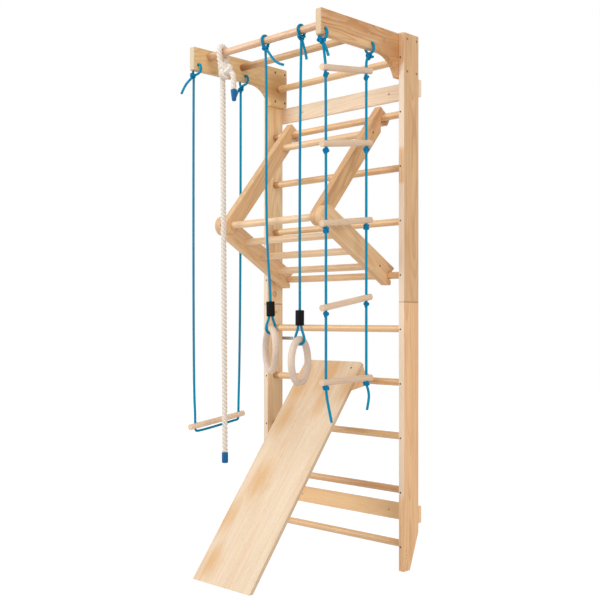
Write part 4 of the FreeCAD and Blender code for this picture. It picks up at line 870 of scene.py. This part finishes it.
def climbing_rope():
    """Up from its cap, once over the front bar, and down to a short capped tail behind a large knot."""
    y, body = ROPE_Y, "climbing_rope"
    lead = [(-236, y, 440), (-236.6, y, 590), (-244, y, 1200), (-249.6, y, 1950), (-250.5, -122, 2060),
            (-254, -126, 2102)]
    hitch = [(-261, -130.9, 2146), (-262, -130.9, 2198), (-279, -76.1, 2198), (-276, -76.1, 2142)]
    away = [(-252, -98, 2110), (-226, -116, 2080), (-186, -121, 2066), (-180, y, 2040), (-180, y, 1984)]
    route = lead + hitch + away
    line = evenly(smooth_line(route, detail=60), 4 * MM)
    rope = tube("climbing_rope_twisted", line, TWISTED_DIAMETER, (1, 0, 0), ROPE, body,
                sides=36, lobes=3, lay=54)
    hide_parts("climbing_rope")
    pieces = [knot("climbing_rope_knot", (-228, -128, 2084), (72, 48, 78), (30, 8), ROPE_DIAMETER, ROPE, body,
                   sides=20)]
    tapered = ((0, 0), (0, 6), (0.03, 8.2), (0.1, 9.4), (0.5, 11.6), (0.85, 13.5), (0.95, 13.2),
               (1, 11.8), (1, 0))
    caps = (("rope_end_cap", (-235.6, y, 419), (-236, y, 466), rounded_profile(13.5, 47, 4)),
            ("rope_tail_cap", (-178, y, 1948), (-179.5, y, 1997), tapered))
    for node, foot, top, profile in caps:
        cap = turned(node + "_shrunk", foot, top, profile, CAP, body)
        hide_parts(node)
        pieces.append(cap)
    [n * MM for n in route[-1]]


# Stage

WHITE = (1, 1, 1, 1)


def lamp(name, place, target, side, watts):
    """A square lamp that faces its target."""
    data = bpy.data.lights.new(name, "AREA")
    data.shape = "SQUARE"
    data.size = side
    data.energy = watts
    piece = bpy.data.objects.new(name, data)
    piece.location = place
    piece.rotation_euler = (Vector(target) - Vector(place)).to_track_quat("-Z", "Y").to_euler()
    bpy.context.scene.collection.objects.link(piece)


def white_for_camera(f, shadow_share):
    """How much of a surface shows plain white: to the camera, gloss and glass, less the shadow's share."""
    path = f.add("ShaderNodeLightPath").socket.node
    seen, mirrored, through = (Wire(path.outputs[name], f) for name in
                               ("Is Camera Ray", "Is Glossy Ray", "Is Transmission Ray"))
    either = f.maths("MAXIMUM", f.maths("MAXIMUM", seen, mirrored), through)
    return either * (1 - shadow_share)


def pale_floor():
    """A floor that is white to the camera, but keeps a share of its shadow near the part."""
    reach, glow_strength, shadow, shadow_start, shadow_end = 9, 1.06, 0.08, 0.35, 0.95
    grey, paler = (0.8, 0.8, 0.8, 1), (0.84, 0.84, 0.84, 1)
    f = new_finish("pale_floor")
    place = f.object_place()
    shade = f.add("ShaderNodeBsdfDiffuse", {}, {"Color": f.blend(f.noise(place, 3.0), grey, paler)})
    glow = f.add("ShaderNodeEmission", {}, {"Color": WHITE, "Strength": glow_strength})
    x, y, _ = f.split(place)
    near = 1 - f.ease(f.power(x * x + y * y, 0.5), shadow_start, shadow_end)
    mixed = f.add("ShaderNodeMixShader", {}, {0: white_for_camera(f, near * shadow), 1: shade, 2: glow})
    mesh = bpy.data.meshes.new("floor")
    mesh.from_pydata([(-reach, -reach, 0), (reach, -reach, 0), (reach, reach, 0), (-reach, reach, 0)], [],
                     [(0, 1, 2, 3)])
    mesh.materials.append(f.end(mixed))
    floor = bpy.data.objects.new("floor", mesh)
    bpy.context.scene.collection.objects.link(floor)


def white_surround():
    """White to the camera, and dimmer as a light."""
    light_strength, seen_strength = 0.46, 1.0
    f = Finish(bpy.data.worlds.new("surround"))
    light = f.add("ShaderNodeBackground", {}, {"Color": WHITE, "Strength": light_strength})
    seen = f.add("ShaderNodeBackground", {}, {"Color": WHITE, "Strength": seen_strength})
    mixed = f.add("ShaderNodeMixShader", {}, {0: white_for_camera(f, 0.0), 1: light, 2: seen})
    bpy.context.scene.world = f.end(mixed, "ShaderNodeOutputWorld")


def lamps():
    """Name, place, target, side of the square in metres, and watts."""
    lamp("key_lamp", (-3.4, -4.4, 3.2), (0, 0, 1.1), 3.6, 150)
    lamp("top_lamp", (0.6, -1.6, 5.2), (0, 0, 1.0), 2.6, 62)
    lamp("side_lamp", (6.2, -2.4, 2.2), (0, 0.1, 1.1), 3.0, 130)


def camera():
    """Level, at about chest height, as fitted to the photo."""
    data = bpy.data.cameras.new("camera")
    data.lens = 57.33
    data.sensor_width = 36
    data.shift_y = 0.0298
    piece = bpy.data.objects.new("camera", data)
    piece.location = (2.8312, -2.8030, 1.0352)
    piece.rotation_euler = (math.pi / 2, 0, 0.774)
    bpy.context.scene.collection.objects.link(piece)
    bpy.context.scene.camera = piece


camera()
trapeze()
rope_ladder()
ring_hangers()
climbing_rope()
dress_uprights()
dress_arms()
dress_unit()
dress_slide()
dress_wall_woods()
dress_turned_woods()
dress_screws()
dress(strap_metal(), "wall_straps")
pale_floor()
white_surround()
lamps()
bpy.context.scene.view_settings.view_transform = "Standard"
